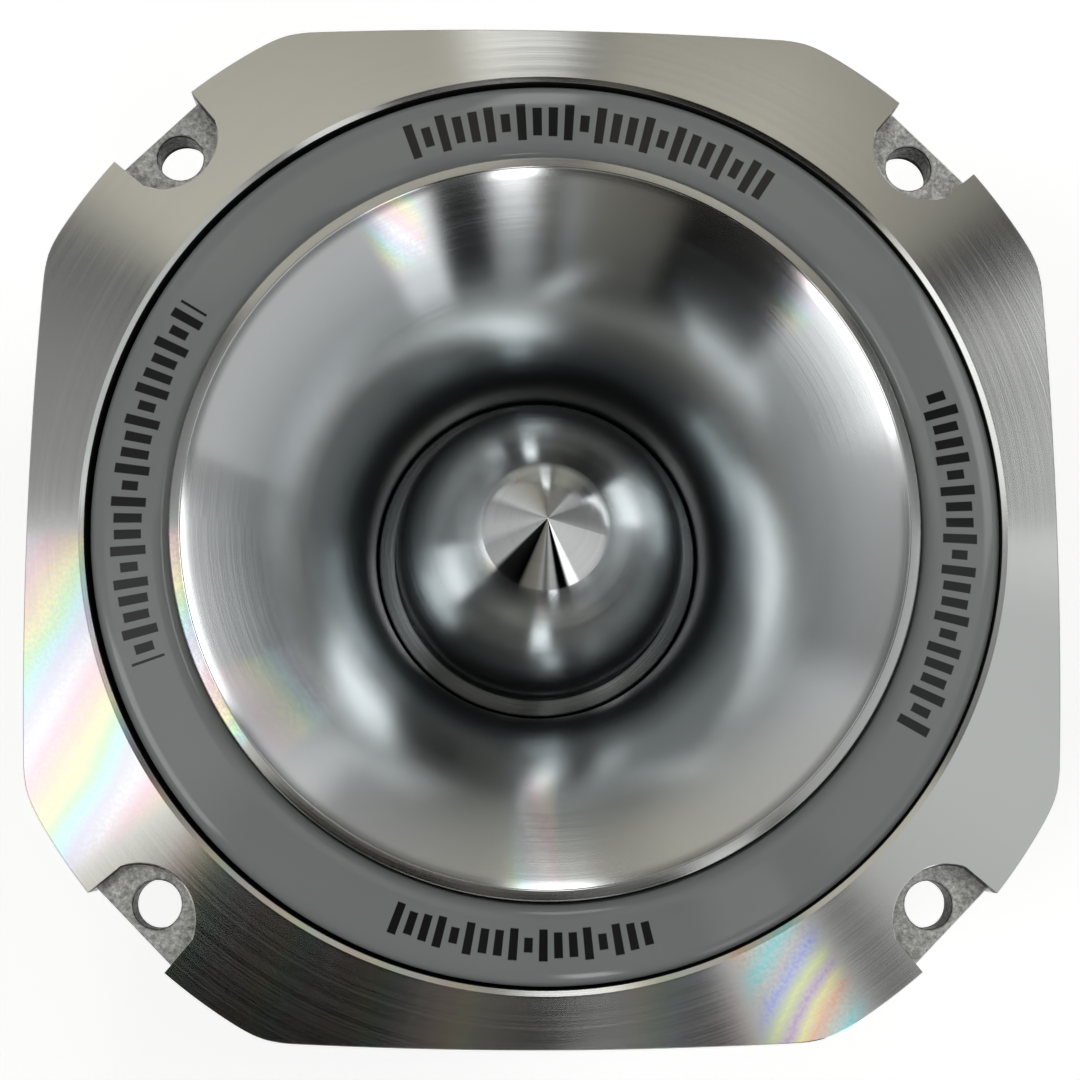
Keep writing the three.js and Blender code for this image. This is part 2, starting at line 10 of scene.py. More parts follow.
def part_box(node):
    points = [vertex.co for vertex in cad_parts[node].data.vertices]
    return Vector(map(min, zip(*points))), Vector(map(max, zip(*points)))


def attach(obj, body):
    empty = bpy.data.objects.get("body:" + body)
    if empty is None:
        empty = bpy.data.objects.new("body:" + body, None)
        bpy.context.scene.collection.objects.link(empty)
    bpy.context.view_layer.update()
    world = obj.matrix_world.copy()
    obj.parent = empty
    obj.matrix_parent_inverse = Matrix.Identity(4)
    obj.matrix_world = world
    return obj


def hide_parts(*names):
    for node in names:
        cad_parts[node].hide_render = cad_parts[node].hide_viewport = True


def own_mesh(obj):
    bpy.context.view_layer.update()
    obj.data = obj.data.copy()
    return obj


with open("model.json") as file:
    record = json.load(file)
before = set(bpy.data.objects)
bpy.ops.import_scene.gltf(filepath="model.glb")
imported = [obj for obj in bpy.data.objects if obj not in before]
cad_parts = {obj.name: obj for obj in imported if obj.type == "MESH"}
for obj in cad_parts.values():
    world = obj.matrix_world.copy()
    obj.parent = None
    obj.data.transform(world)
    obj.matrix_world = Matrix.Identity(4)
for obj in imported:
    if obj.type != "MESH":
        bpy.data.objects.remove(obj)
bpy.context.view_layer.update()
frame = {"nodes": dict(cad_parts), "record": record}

MM = 0.001

# ------------------------------------------------------------------ sizes, read from the frame

HORN_LOW, HORN_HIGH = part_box("horn_frame")
SIDE_HALF = HORN_HIGH.x
LIP_HEIGHT = 1.0 * MM
FACE_Z = HORN_HIGH.z - LIP_HEIGHT
FLANGE_BOTTOM = FACE_Z - 5.0 * MM
FOOT_BOTTOM = HORN_LOW.z
THROAT_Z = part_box("bullet")[0].z
TIP_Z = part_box("bullet")[1].z
FOOT_TOP = FOOT_BOTTOM + 8.0 * MM

# The flange: four bowed sides, corner arcs about the axis, an open pad in each corner
SIDE_BOW = 0.75 * MM
CORNER_RADIUS = 54.9 * MM
PAD_EDGE = 54.1 * MM
PAD_DEPTH = 2.0 * MM
PAD_HALF_ANGLE = math.radians(5.35)
PAD_INNER_END = 47.95 * MM
PAD_END_RADIUS = 5.34 * MM
HOLE_CIRCLE = 36.2 * MM * math.sqrt(2)
HOLE_RADIUS = 2.25 * MM
OUTLINE_BLEND = math.radians(3.2)

# The horn
MOUTH_RADIUS = 34.7 * MM
LIP_RADIUS = 35.75 * MM
THROAT_RADIUS = 17.65 * MM
FLARE_POWER = 2.6
NECK_WALL = 4.2 * MM
FOOT_RADIUS = 44.0 * MM
FOOT_RECESS = 34.2 * MM
GROOVE_RADIUS = 43.9 * MM
GROOVE_FLOOR = FACE_Z - 3.0 * MM
GROOVE_CHAMFER = 0.5 * MM
GROOVE_CHAMFER_DEPTH = 0.13 * MM
SCREW_CIRCLE = 39.6 * MM

# The motor and the terminals
NECK_STEPS = 16
BOSS_RADIUS = 4.6 * MM
PLATE_CHAMFER = 0.8 * MM
SCREW_CLEARANCE = 2.1 * MM
GASKET_INNER = 46.6 * MM
GASKET_INSET = 0.6 * MM
GASKET_HOLE = 2.6 * MM
POST_BORE = 2.6 * MM
POST_BORE_DEPTH = 11 * MM
CROSS_HOLE_Z = 11.5 * MM
CROSS_HOLE_RADIUS = 0.85 * MM
WIRE_ENTRY_Z = 14 * MM
TAPPED_HOLE = 1.15 * MM

# Steps round a large turned piece, and the angle in degrees above which its edges stay sharp
FINE = 360
FACET = 10
QUARTER = math.pi / 2


# ------------------------------------------------------------------ mesh helpers

def fillet(points, radii, steps=5):
    """The polyline with each inner corner that has a radius turned into a small arc."""
    longest_part = 0.45
    out = []
    count = len(points)
    for i, (point, radius) in enumerate(zip(points, radii)):
        if radius <= 0 or i in (0, count - 1):
            out.append(point)
            continue
        here = Vector(point)
        back = Vector(points[i - 1]) - here
        ahead = Vector(points[i + 1]) - here
        cut = min(radius, back.length * longest_part, ahead.length * longest_part)
        start = here + back.normalized() * cut
        end = here + ahead.normalized() * cut
        for k in range(steps + 1):
            t = k / steps
            bend = start * (1 - t) ** 2 + here * 2 * t * (1 - t) + end * t ** 2
            out.append(tuple(bend))
    return out


def mesh_object(name, vertices, faces):
    mesh = bpy.data.meshes.new(name)
    mesh.from_pydata([tuple(v) for v in vertices], [], faces)
    mesh.update()
    piece = bpy.data.objects.new(name, mesh)
    bpy.context.scene.collection.objects.link(piece)
    return piece


def smooth_by(piece, angle=30):
    """Shades smoothly across edges up to the angle in degrees."""
    piece.data.shade_smooth()
    piece.data.set_sharp_from_angle(angle=math.radians(angle))
    return piece


def tidy_normals(piece, angle=30, merge=1e-7):
    """Joins doubled points, turns the faces outwards and shades smoothly up to the angle."""
    bm = bmesh.new()
    bm.from_mesh(piece.data)
    bmesh.ops.remove_doubles(bm, verts=bm.verts, dist=merge)
    bmesh.ops.dissolve_degenerate(bm, edges=bm.edges, dist=merge)
    bmesh.ops.recalc_face_normals(bm, faces=bm.faces)
    bm.to_mesh(piece.data)
    bm.free()
    return smooth_by(piece, angle)


def turned(name, profile, segments=FINE, centre=(0, 0), closed=True, angle=30):
    """A solid of revolution about Z from (radius, z) points."""
    ends_on_axis = profile[0][0] == 0 and profile[-1][0] == 0
    vertices, rings = [], []
    for radius, z in profile:
        if radius < 1e-9:
            vertices.append((centre[0], centre[1], z))
            rings.append([len(vertices) - 1] * segments)
            continue
        rings.append(list(range(len(vertices), len(vertices) + segments)))
        for i in range(segments):
            a = 2 * math.pi * i / segments
            vertices.append((centre[0] + radius * math.cos(a), centre[1] + radius * math.sin(a), z))
    if closed and not ends_on_axis:
        rings.append(rings[0])
    faces = []
    for low, high in zip(rings, rings[1:]):
        for i in range(segments):
            j = (i + 1) % segments
            corners = [low[i], low[j], high[j], high[i]]
            face = list(dict.fromkeys(corners))
            if len(face) > 2:
                faces.append(face)
    return tidy_normals(mesh_object(name, vertices, faces), angle)


def swept(name, columns, angle):
    """A closed ring of sections, each a closed loop of points joined to the next section's."""
    height = len(columns[0])
    vertices = [point for points in columns for point in points]
    faces = []
    for i in range(len(columns)):
        j = (i + 1) % len(columns)
        for k in range(height):
            m = (k + 1) % height
            faces.append([i * height + k, j * height + k, j * height + m, i * height + m])
    return tidy_normals(mesh_object(name, vertices, faces), angle)


def section_at(azimuth, section):
    """(radius, z) points stood up at an azimuth."""
    return [(r * math.cos(azimuth), r * math.sin(azimuth), z) for r, z in section]


def diagonal_points(distance):
    """Four places on the diagonals, at a distance from the axis."""
    angles = [math.pi / 4 + k * QUARTER for k in range(4)]
    return [(distance * math.cos(a), distance * math.sin(a)) for a in angles]


def middle_of(name):
    """The middle of a CAD node's box, seen along the axis."""
    low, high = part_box(name)
    return (low.x + high.x) / 2, (low.y + high.y) / 2


def joined(base, *others):
    """Joins other pieces' meshes into base, as separate closed shells of one piece."""
    bm = bmesh.new()
    for piece in (base, *others):
        bm.from_mesh(piece.data)
    bm.to_mesh(base.data)
    bm.free()
    for piece in others:
        bpy.data.objects.remove(piece)
    return base


def carved(piece, cutter):
    """The piece with the cutter's volume taken away."""
    modifier = piece.modifiers.new("cut", "BOOLEAN")
    modifier.operation = "DIFFERENCE"
    modifier.object = cutter
    modifier.solver = "EXACT"
    graph = bpy.context.evaluated_depsgraph_get()
    made = bpy.data.meshes.new_from_object(piece.evaluated_get(graph))
    piece.modifiers.remove(modifier)
    old = piece.data
    piece.data = made
    bpy.data.meshes.remove(old)
    bpy.data.objects.remove(cutter)
    return piece


def drill(points, radius, bottom, top, segments=48):
    """Round cutters, standing at the given places."""
    profile = [(0, bottom), (radius, bottom), (radius, top), (0, top)]
    return joined(*(turned(f"drill_{i}", profile, segments, centre) for i, centre in enumerate(points)))


def finish_piece(piece, body, materials, replaced=()):
    """Gives the piece its materials and its body, and hides the CAD nodes it stands for."""
    piece.data.materials.clear()
    for material in materials:
        piece.data.materials.append(material)
    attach(piece, body)
    if replaced:
        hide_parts(*replaced)
    return piece


# ------------------------------------------------------------------ shader helpers

class Nodes:
    """Short names for adding and wiring shader nodes."""

    def __init__(self, tree):
        self.tree = tree

    def add(self, kind, **settings):
        node = self.tree.nodes.new(kind)
        for key, value in settings.items():
            setattr(node, key, value)
        return node

    def link(self, source, target):
        self.tree.links.new(source, target)

    def put(self, socket, value):
        if isinstance(value, bpy.types.NodeSocket):
            self.link(value, socket)
        else:
            socket.default_value = value

    def math(self, operation, a, b=0.0, c=0.0):
        node = self.add("ShaderNodeMath", operation=operation)
        for socket, value in zip(node.inputs, (a, b, c)):
            self.put(socket, value)
        return node.outputs[0]

    def smooth(self, value, low, high, out_low=0.0, out_high=1.0):
        node = self.add("ShaderNodeMapRange", interpolation_type="SMOOTHSTEP")
        for socket, number in zip(node.inputs, (value, low, high, out_low, out_high)):
            self.put(socket, number)
        return node.outputs[0]

    def mix(self, factor, a, b, blend="MIX"):
        node = self.add("ShaderNodeMix", data_type="RGBA", blend_type=blend)
        self.put(node.inputs["Factor"], factor)
        self.put(node.inputs[6], a)
        self.put(node.inputs[7], b)
        return node.outputs[2]

    def combine(self, x, y, z):
        node = self.add("ShaderNodeCombineXYZ")
        for socket, value in zip(node.inputs, (x, y, z)):
            self.put(socket, value)
        return node.outputs[0]

    def noise(self, vector, scale, detail=2.0, roughness=0.5):
        node = self.add("ShaderNodeTexNoise")
        self.put(node.inputs["Vector"], vector)
        node.inputs["Scale"].default_value = scale
        node.inputs["Detail"].default_value = detail
        node.inputs["Roughness"].default_value = roughness
        return node.outputs["Fac"]

    def ramp(self, factor, stops):
        node = self.add("ShaderNodeValToRGB")
        elements = node.color_ramp.elements
        while len(elements) < len(stops):
            elements.new(0.5)
        for element, (position, colour) in zip(elements, stops):
            element.position = position
            element.color = (*colour, 1)
        self.put(node.inputs[0], factor)
        return node.outputs[0]

    def place(self):
        """The point on the object, in metres."""
        return self.add("ShaderNodeTexCoord").outputs["Object"]

    def split(self, vector):
        parts = self.add("ShaderNodeSeparateXYZ")
        self.link(vector, parts.inputs[0])
        return parts.outputs

    def polar(self):
        """Radius in metres, azimuth in radians and height in metres, about the object's axis."""
        x, y, z = self.split(self.place())
        square = self.math("ADD", self.math("MULTIPLY", x, x), self.math("MULTIPLY", y, y))
        return self.math("SQRT", square), self.math("ARCTAN2", y, x), z

    def degrees_from(self, azimuth, start=0.0):
        """An azimuth in radians as 0 to 360 degrees, counted from a start in degrees."""
        degrees = self.math("MULTIPLY", azimuth, 180 / math.pi)
        return self.math("MODULO", self.math("ADD", degrees, 360.0 - start), 360.0)


def new_material(name, colour=(0.8, 0.8, 0.8), metallic=0.0, roughness=0.5):
    material = bpy.data.materials.new(name)
    material.use_nodes = True
    nodes = Nodes(material.node_tree)
    shader = material.node_tree.nodes["Principled BSDF"]
    shader.inputs["Base Color"].default_value = (*colour, 1)
    shader.inputs["Metallic"].default_value = metallic
    shader.inputs["Roughness"].default_value = roughness
    return material, nodes, shader


def bump(nodes, shader, height, strength, distance):
    node = nodes.add("ShaderNodeBump")
    node.inputs["Strength"].default_value = strength
    node.inputs["Distance"].default_value = distance
    nodes.link(height, node.inputs["Height"])
    nodes.link(node.outputs[0], shader.inputs["Normal"])


# ------------------------------------------------------------------ materials

def turning_marks(nodes, pitch, wander=0.15):
    """Concentric tool marks: noise along the radius, with a little change round the turn."""
    radius, azimuth, z = nodes.polar()
    along = nodes.math("DIVIDE", nodes.math("ADD", radius, z), pitch)
    place = nodes.combine(along, nodes.math("MULTIPLY", azimuth, wander), 0.0)
    return nodes.noise(place, 1.0, detail=3.0, roughness=0.7)


# Colours across one band of the painted diffraction sheen: (part of the band, colour)
PAINTED_SHEEN_PASTEL = [
    (0.0, (1.0, 0.72, 0.80)), (0.18, (1.0, 0.80, 0.62)), (0.32, (1.0, 0.97, 0.58)),
    (0.44, (0.68, 1.0, 0.62)), (0.56, (0.62, 0.96, 1.0)), (0.70, (0.80, 0.80, 1.0)),
    (0.85, (0.96, 0.94, 1.0)), (1.0, (1.0, 0.72, 0.80)),
]
PAINTED_SHEEN_VIVID = [
    (0.0, (1.0, 0.50, 0.30)), (0.14, (0.60, 0.66, 0.58)), (0.26, (0.25, 0.80, 0.85)),
    (0.40, (0.62, 0.62, 0.62)), (0.52, (0.42, 0.48, 1.0)), (0.66, (0.85, 1.0, 0.38)),
    (0.80, (0.62, 0.42, 0.76)), (0.90, (1.0, 0.98, 0.40)), (1.0, (1.0, 0.60, 0.35)),
]


def painted_diffraction_sheen(nodes, shade, painted_sheen_patches):
    """Painted diffraction sheen: fixed colour bands for the rainbow that fine turning marks throw, each over
    a stretch of the turn.

    A patch is (from, to in degrees, inner radius, strength, spectrum, pitch and slant of its bands,
    phase).
    """
    soft_turn = 1.5
    soft_radius = 2 * MM
    radius, azimuth, _ = nodes.polar()
    turn = nodes.degrees_from(azimuth)
    place = nodes.place()
    x, y, _ = nodes.split(place)
    wander = nodes.noise(place, 130.0, detail=3.0)
    mottle = nodes.smooth(nodes.noise(place, 2500.0, detail=3.0), 0.35, 0.65, 0.55, 1.0)
    for start, end, inner, strength, spectrum, pitch, slant, phase in painted_sheen_patches:
        across = nodes.math("MULTIPLY", x, math.cos(slant) / pitch)
        across = nodes.math("MULTIPLY_ADD", y, math.sin(slant) / pitch, across)
        across = nodes.math("ADD", across, phase)
        band = nodes.math("FRACT", nodes.math("MULTIPLY_ADD", wander, 0.2, across))
        inside = nodes.math("MULTIPLY", nodes.smooth(turn, start - soft_turn, start + soft_turn),
                            nodes.smooth(turn, end - soft_turn, end + soft_turn, 1.0, 0.0))
        outside = nodes.smooth(radius, inner - soft_radius, inner + soft_radius)
        inside = nodes.math("MULTIPLY", nodes.math("MULTIPLY", inside, outside), mottle)
        colour = nodes.ramp(band, spectrum)
        shade = nodes.mix(nodes.math("MULTIPLY", inside, strength), shade, colour)
    return shade


# Radius that the painted shade's stops are spread over
PAINTED_SHADE_REACH = 50 * MM


def painted_throat_shade(painted_shade_rows):
    """Painted shade colour stops from (radius in mm, tone) rows. The darker the tone, the cooler."""
    return [(radius * MM / PAINTED_SHADE_REACH, (tone, tone * 1.12 ** (1 - tone), tone * 1.2 ** (1 - tone)))
            for radius, tone in painted_shade_rows]


def machined(name, colour, roughness, anisotropy, pitch, mark_bump, painted_sheen_patches=(), painted_shade_rows=(), finer=()):
    """Turned metal, with a painted diffraction sheen in patches and painted shade by radius; finer is
    (radii, factor) of a smoother middle.
    """
    material, nodes, shader = new_material(name, colour, 1.0, roughness)
    marks = turning_marks(nodes, pitch)
    shader.inputs["Anisotropic"].default_value = anisotropy
    tangent = nodes.add("ShaderNodeTangent", direction_type="RADIAL", axis="Z")
    nodes.link(tangent.outputs[0], shader.inputs["Tangent"])
    shader.inputs["Anisotropic Rotation"].default_value = 0.25
    rough = nodes.smooth(marks, 0.25, 0.75, roughness * 0.85, roughness * 1.2)
    if finer:
        inner, outer, factor = finer
        rough = nodes.math("MULTIPLY", rough, nodes.smooth(nodes.polar()[0], inner, outer, factor, 1.0))
    nodes.link(rough, shader.inputs["Roughness"])
    shade = nodes.ramp(marks, [(0.3, tuple(c * 0.93 for c in colour)), (0.7, colour)])
    # Painted shade: the base colour darkens and cools by radius towards the throat
    if painted_shade_rows:
        tone = nodes.ramp(nodes.math("DIVIDE", nodes.polar()[0], PAINTED_SHADE_REACH), painted_throat_shade(painted_shade_rows))
        shade = nodes.mix(1.0, shade, tone, "MULTIPLY")
    # Painted diffraction sheen, fixed in the base colour
    shade = painted_diffraction_sheen(nodes, shade, painted_sheen_patches)
    nodes.link(shade, shader.inputs["Base Color"])
    bump(nodes, shader, marks, mark_bump, 0.02 * MM)
    return material


def cast_aluminium(name, painted_shade_by=1.0):
    """Grainy casting skin; its second argument darkens it as painted shade, for a copy that lies deep in a
    recess.
    """
    material, nodes, shader = new_material(name, (0.5, 0.5, 0.48), 0.85, 0.5)
    place = nodes.place()
    grain = nodes.noise(place, 2300.0, detail=4.0, roughness=0.7)
    lumps = nodes.noise(place, 420.0, detail=2.0)
    height = nodes.math("MULTIPLY_ADD", lumps, 0.8, grain)
    tones = [(0.34, 0.34), (0.48, 0.52), (0.60, 0.68), (0.70, 0.85)]
    stops = [(at, (tone * painted_shade_by, tone * painted_shade_by, tone * painted_shade_by * 0.96)) for at, tone in tones]
    nodes.link(nodes.ramp(grain, stops), shader.inputs["Base Color"])
    nodes.link(nodes.smooth(grain, 0.35, 0.7, 0.6, 0.32), shader.inputs["Roughness"])
    bump(nodes, shader, height, 0.9, 0.12 * MM)
    return material


# Painted diffraction sheen on the face and the lip: (from, to in degrees, inner radius, strength, spectrum,
# pitch, slant, phase)
FACE_PAINTED_SHEEN = [
    (182, 217, 0, 0.9, PAINTED_SHEEN_PASTEL, 10 * MM, -0.49, -0.03),
    (221, 262, 0, 0.35, PAINTED_SHEEN_PASTEL, 9 * MM, -0.4, 0),
    (293, 303, 0, 0.85, PAINTED_SHEEN_VIVID, 10 * MM, -0.55, 0.28),
    (280, 292, 0, 0.3, PAINTED_SHEEN_PASTEL, 12 * MM, -0.3, 0.4),
]
# Painted diffraction sheen on the flare, in the same columns
FLARE_PAINTED_SHEEN = [
    (113, 122, 30 * MM, 0.8, PAINTED_SHEEN_PASTEL, 5 * MM, 1.1, 0),
    (38, 46, 31 * MM, 0.5, PAINTED_SHEEN_PASTEL, 5 * MM, 0.8, 0),
    (264, 272, 25 * MM, 0.5, PAINTED_SHEEN_PASTEL, 8 * MM, 0.3, 0),
    (205, 222, 27 * MM, 0.4, PAINTED_SHEEN_PASTEL, 8 * MM, 0.7, 0),
]
# Painted shade on the flare: tone by radius in mm, darker and cooler down towards the throat
FLARE_PAINTED_SHADE = [
    (17.6, 0.12), (18.9, 0.40), (20.5, 0.60), (24.0, 0.64), (28.0, 0.64), (31.0, 0.84), (34.0, 1.0),
]
# The face, the lip and the flare carry the painted diffraction sheen; the flare also carries painted shade
# by radius
TURNED = machined("turned_aluminium", (0.80, 0.81, 0.79), 0.135, 1.0, 0.16 * MM, 0.04, FACE_PAINTED_SHEEN)
LIP = machined("lip_aluminium", (0.62, 0.63, 0.62), 0.12, 1.0, 0.12 * MM, 0.03, FACE_PAINTED_SHEEN[:1])
FLARE = machined("flare_aluminium", (0.83, 0.85, 0.85), 0.18, 1.0, 0.20 * MM, 0.05, FLARE_PAINTED_SHEEN, FLARE_PAINTED_SHADE)
POLISHED = machined("polished_aluminium", (0.84, 0.86, 0.86), 0.15, 0.95, 0.15 * MM, 0.02,
                    finer=(5 * MM, 8 * MM, 0.35))
CAST = cast_aluminium("cast_aluminium")
# A copy of the casting darkened as painted shade, for the pads' walls and the holes
PAINTED_SHADE_CAST = cast_aluminium("painted_shade_casting", 0.12)


def simple(name, colour, metallic, roughness, grain_scale, grain_bump, variation=0.15):
    """A plain moulded or plated finish with fine grain and slight blotches."""
    material, nodes, shader = new_material(name, colour, metallic, roughness)
    place = nodes.place()
    grain = nodes.noise(place, grain_scale, detail=3.0, roughness=0.6)
    blotch = nodes.noise(place, 90.0, detail=2.0)
    low = tuple(c * (1 - variation) for c in colour)
    rough = nodes.smooth(grain, 0.2, 0.8, roughness * 0.85, min(1.0, roughness * 1.2))
    nodes.link(nodes.ramp(blotch, [(0.3, low), (0.7, colour)]), shader.inputs["Base Color"])
    nodes.link(rough, shader.inputs["Roughness"])
    bump(nodes, shader, grain, grain_bump, 0.05 * MM)
    return material


# Painted shadow: near-black for the groove's floor and walls, which lie in shade
GROOVE_PAINTED_SHADOW = simple("groove_painted_shadow", (0.004, 0.004, 0.004), 0.0, 0.6, 2000.0, 0.1)
DECAL_GREY = simple("decal_grey", (0.13, 0.145, 0.145), 0.0, 0.5, 900.0, 0.05)
ZINC = simple("zinc_steel", (0.62, 0.62, 0.60), 1.0, 0.34, 1500.0, 0.15)
BLACK_STEEL = simple("black_steel", (0.03, 0.03, 0.03), 0.6, 0.42, 1500.0, 0.15)
FERRITE = simple("ferrite", (0.035, 0.035, 0.038), 0.0, 0.62, 1200.0, 0.35, 0.3)
TITANIUM = simple("titanium", (0.5, 0.51, 0.52), 1.0, 0.3, 900.0, 0.05)
COPPER = simple("copper", (0.70, 0.30, 0.14), 1.0, 0.3, 4000.0, 0.3)
POLYIMIDE = simple("polyimide", (0.45, 0.2, 0.03), 0.0, 0.35, 900.0, 0.05)
BRASS = simple("brass", (0.75, 0.55, 0.22), 1.0, 0.32, 1500.0, 0.1)
BLACK_PLASTIC = simple("black_plastic", (0.012, 0.012, 0.013), 0.0, 0.42, 2600.0, 0.25)
RED_PLASTIC = simple("red_plastic", (0.42, 0.01, 0.008), 0.0, 0.32, 1600.0, 0.1)
BUTTON_BLACK = simple("button_black", (0.015, 0.015, 0.016), 0.0, 0.32, 1600.0, 0.1)
FIBRE = simple("fibre", (0.06, 0.055, 0.045), 0.0, 0.9, 1800.0, 0.5)
FOAM = simple("foam", (0.012, 0.012, 0.012), 0.0, 0.95, 1400.0, 0.9, 0.4)
SPRING_STEEL = simple("spring_steel", (0.6, 0.61, 0.62), 1.0, 0.25, 1800.0, 0.05)
PLATED = machined("plated_steel", (0.36, 0.36, 0.35), 0.36, 0.6, 0.30 * MM, 0.2)

SLOT_FINISH = {
    "turned_aluminium": TURNED, "polished_aluminium": POLISHED, "decal_grey": DECAL_GREY,
    "clear_resin": DECAL_GREY, "zinc_steel": ZINC, "black_steel": BLACK_STEEL, "ferrite": FERRITE,
    "titanium": TITANIUM, "copper": COPPER, "polyimide": POLYIMIDE, "brass": BRASS,
    "black_plastic": BLACK_PLASTIC, "red_plastic": RED_PLASTIC, "button_black": BUTTON_BLACK,
    "fibre": FIBRE, "foam": FOAM, "spring_steel": SPRING_STEEL,
}


def dress_cad_nodes():
    """Gives every CAD node the finish of its slot in the record."""
    for row in frame["record"]["subparts"]:
        node = frame["nodes"][row["node"]]
        node.data.materials.clear()
        node.data.materials.append(SLOT_FINISH[row["material_slot"]])


# ------------------------------------------------------------------ the horn

def flare_radius(z):
    """The flare's radius at a height."""
    t = max(0.0, (z - THROAT_Z) / (HORN_HIGH.z - THROAT_Z))
    return THROAT_RADIUS + (MOUTH_RADIUS - THROAT_RADIUS) * t ** FLARE_POWER


def horn_flare():
    """Flare, lip, neck and foot: everything of the casting that is round about the axis."""
    steps = 90
    fade = 4 * MM
    swell = 2.2 * MM
    flare = []
    for i in range(steps + 1):
        z = THROAT_Z + (HORN_HIGH.z - THROAT_Z) * i / steps
        flare.append((flare_radius(z), z))
    flare[-1] = (MOUTH_RADIUS - 0.03 * MM, HORN_HIGH.z - 0.12 * MM)
    neck = []
    for i in range(NECK_STEPS + 1):
        z = FLANGE_BOTTOM - (FLANGE_BOTTOM - FOOT_TOP) * i / NECK_STEPS
        blend = swell * (max(0.0, 1 - (FLANGE_BOTTOM - z) / fade) ** 2
                         + max(0.0, 1 - (z - FOOT_TOP) / fade) ** 2)
        neck.append((flare_radius(z) + NECK_WALL + blend, z))
    rim = fillet(
        [flare[-1], (MOUTH_RADIUS + 0.08 * MM, HORN_HIGH.z), (LIP_RADIUS - 0.1 * MM, HORN_HIGH.z),
         (LIP_RADIUS, HORN_HIGH.z - 0.1 * MM), (LIP_RADIUS, FLANGE_BOTTOM)],
        [0, 0.08 * MM, 0, 0, 0], 3)
    foot = fillet(
        [neck[-1], (FOOT_RADIUS, FOOT_TOP), (FOOT_RADIUS, FOOT_BOTTOM), (FOOT_RECESS, FOOT_BOTTOM),
         (FOOT_RECESS, THROAT_Z), (THROAT_RADIUS, THROAT_Z)],
        [0, 0.8 * MM, 0.5 * MM, 0, 0, 0])
    piece = turned("horn_flare", flare[:-1] + rim + neck + foot[1:-1], angle=FACET)
    finish_piece(piece, "root", [FLARE, LIP, CAST], ["horn_frame"])
    assign_horn_faces(piece)


def assign_horn_faces(piece):
    """Turned metal inside the flare and on the lip, casting skin on the outside."""
    for face in piece.data.polygons:
        centre = face.center
        radius = math.hypot(centre.x, centre.y)
        if centre.z > HORN_HIGH.z - 0.2 * MM and radius > MOUTH_RADIUS:
            face.material_index = 1
        elif radius > flare_radius(min(centre.z, HORN_HIGH.z)) + 1.0 * MM:
            face.material_index = 2


# ------------------------------------------------------------------ the flange

def sharp_outline_radius(angle):
    """Distance from the axis to four bowed sides joined by arcs about the axis, along the angle."""
    turn = (angle + QUARTER / 2) % QUARTER - QUARTER / 2
    half = SIDE_HALF - SIDE_BOW
    end = math.sqrt(CORNER_RADIUS ** 2 - half ** 2)
    if abs(turn) > math.atan2(end, half):
        return CORNER_RADIUS
    bow = (end ** 2 + SIDE_BOW ** 2) / (2 * SIDE_BOW)
    centre = SIDE_HALF - bow
    return centre * math.cos(turn) + math.sqrt(bow ** 2 - (centre * math.sin(turn)) ** 2)


def outline_radius(angle):
    """The outline with the corners between sides and arcs rounded off."""
    samples = 7
    offsets = [OUTLINE_BLEND * (2 * i / (samples - 1) - 1) for i in range(samples)]
    weights = [1 - abs(offset) / (OUTLINE_BLEND * 1.15) for offset in offsets]
    total = sum(w * sharp_outline_radius(angle + offset) for w, offset in zip(weights, offsets))
    return min(total / sum(weights), sharp_outline_radius(angle))


def pad_inner_radius(off):
    """Distance from the axis to the round inner end of a pad's recess, at an angle off its middle."""
    centre = PAD_INNER_END + PAD_END_RADIUS
    return centre * math.cos(off) - math.sqrt(PAD_END_RADIUS ** 2 - (centre * math.sin(off)) ** 2)


def soft_edge(radius, size):
    """The rounded edge from the face down to a wall."""
    return [(radius - size, FACE_Z), (radius - size * 0.3, FACE_Z - size * 0.3), (radius, FACE_Z - size)]


def column(angle, in_pad):
    """One radial section of the flange, from the groove's floor round to the back."""
    edge = 0.12 * MM
    back = 0.35 * MM
    corner = 0.25 * MM
    hub = LIP_RADIUS - 0.01 * MM
    chamfer_foot = FACE_Z - GROOVE_CHAMFER_DEPTH
    section = [
        (hub, GROOVE_FLOOR), (GROOVE_RADIUS - corner, GROOVE_FLOOR), (GROOVE_RADIUS, GROOVE_FLOOR + corner),
        (GROOVE_RADIUS, chamfer_foot - 0.03 * MM), (GROOVE_RADIUS + 0.02 * MM, chamfer_foot),
        (GROOVE_RADIUS + GROOVE_CHAMFER, FACE_Z),
    ]
    floor = FACE_Z - PAD_DEPTH
    if in_pad:
        off = (angle % QUARTER) - QUARTER / 2
        inner = pad_inner_radius(off)
        rim = PAD_EDGE / math.cos(off)
        foot = inner + 0.15 * MM
        section += soft_edge(inner, edge)
        section += [(foot, floor + 0.45 * MM), (foot + 0.12 * MM, floor + 0.15 * MM),
                    (foot + 0.45 * MM, floor)]
        section += [(inner + (rim - inner) * k, floor) for k in (0.35, 0.6, 0.85)]
        section += [(rim - 0.2 * MM, floor), (rim - 0.05 * MM, floor - 0.06 * MM), (rim, floor - 0.2 * MM)]
    else:
        outer = outline_radius(angle)
        steps = 9
        fall = (PAD_DEPTH + 0.08 * MM) / steps
        section += soft_edge(outer, edge)
        section += [(outer, FACE_Z - edge - fall * (k + 1)) for k in range(steps)]
    side = section[-1][0]
    section += [(side, FLANGE_BOTTOM + back), (side - back * 0.3, FLANGE_BOTTOM + back * 0.3),
                (side - back, FLANGE_BOTTOM), (hub, FLANGE_BOTTOM)]
    return section_at(angle, section)


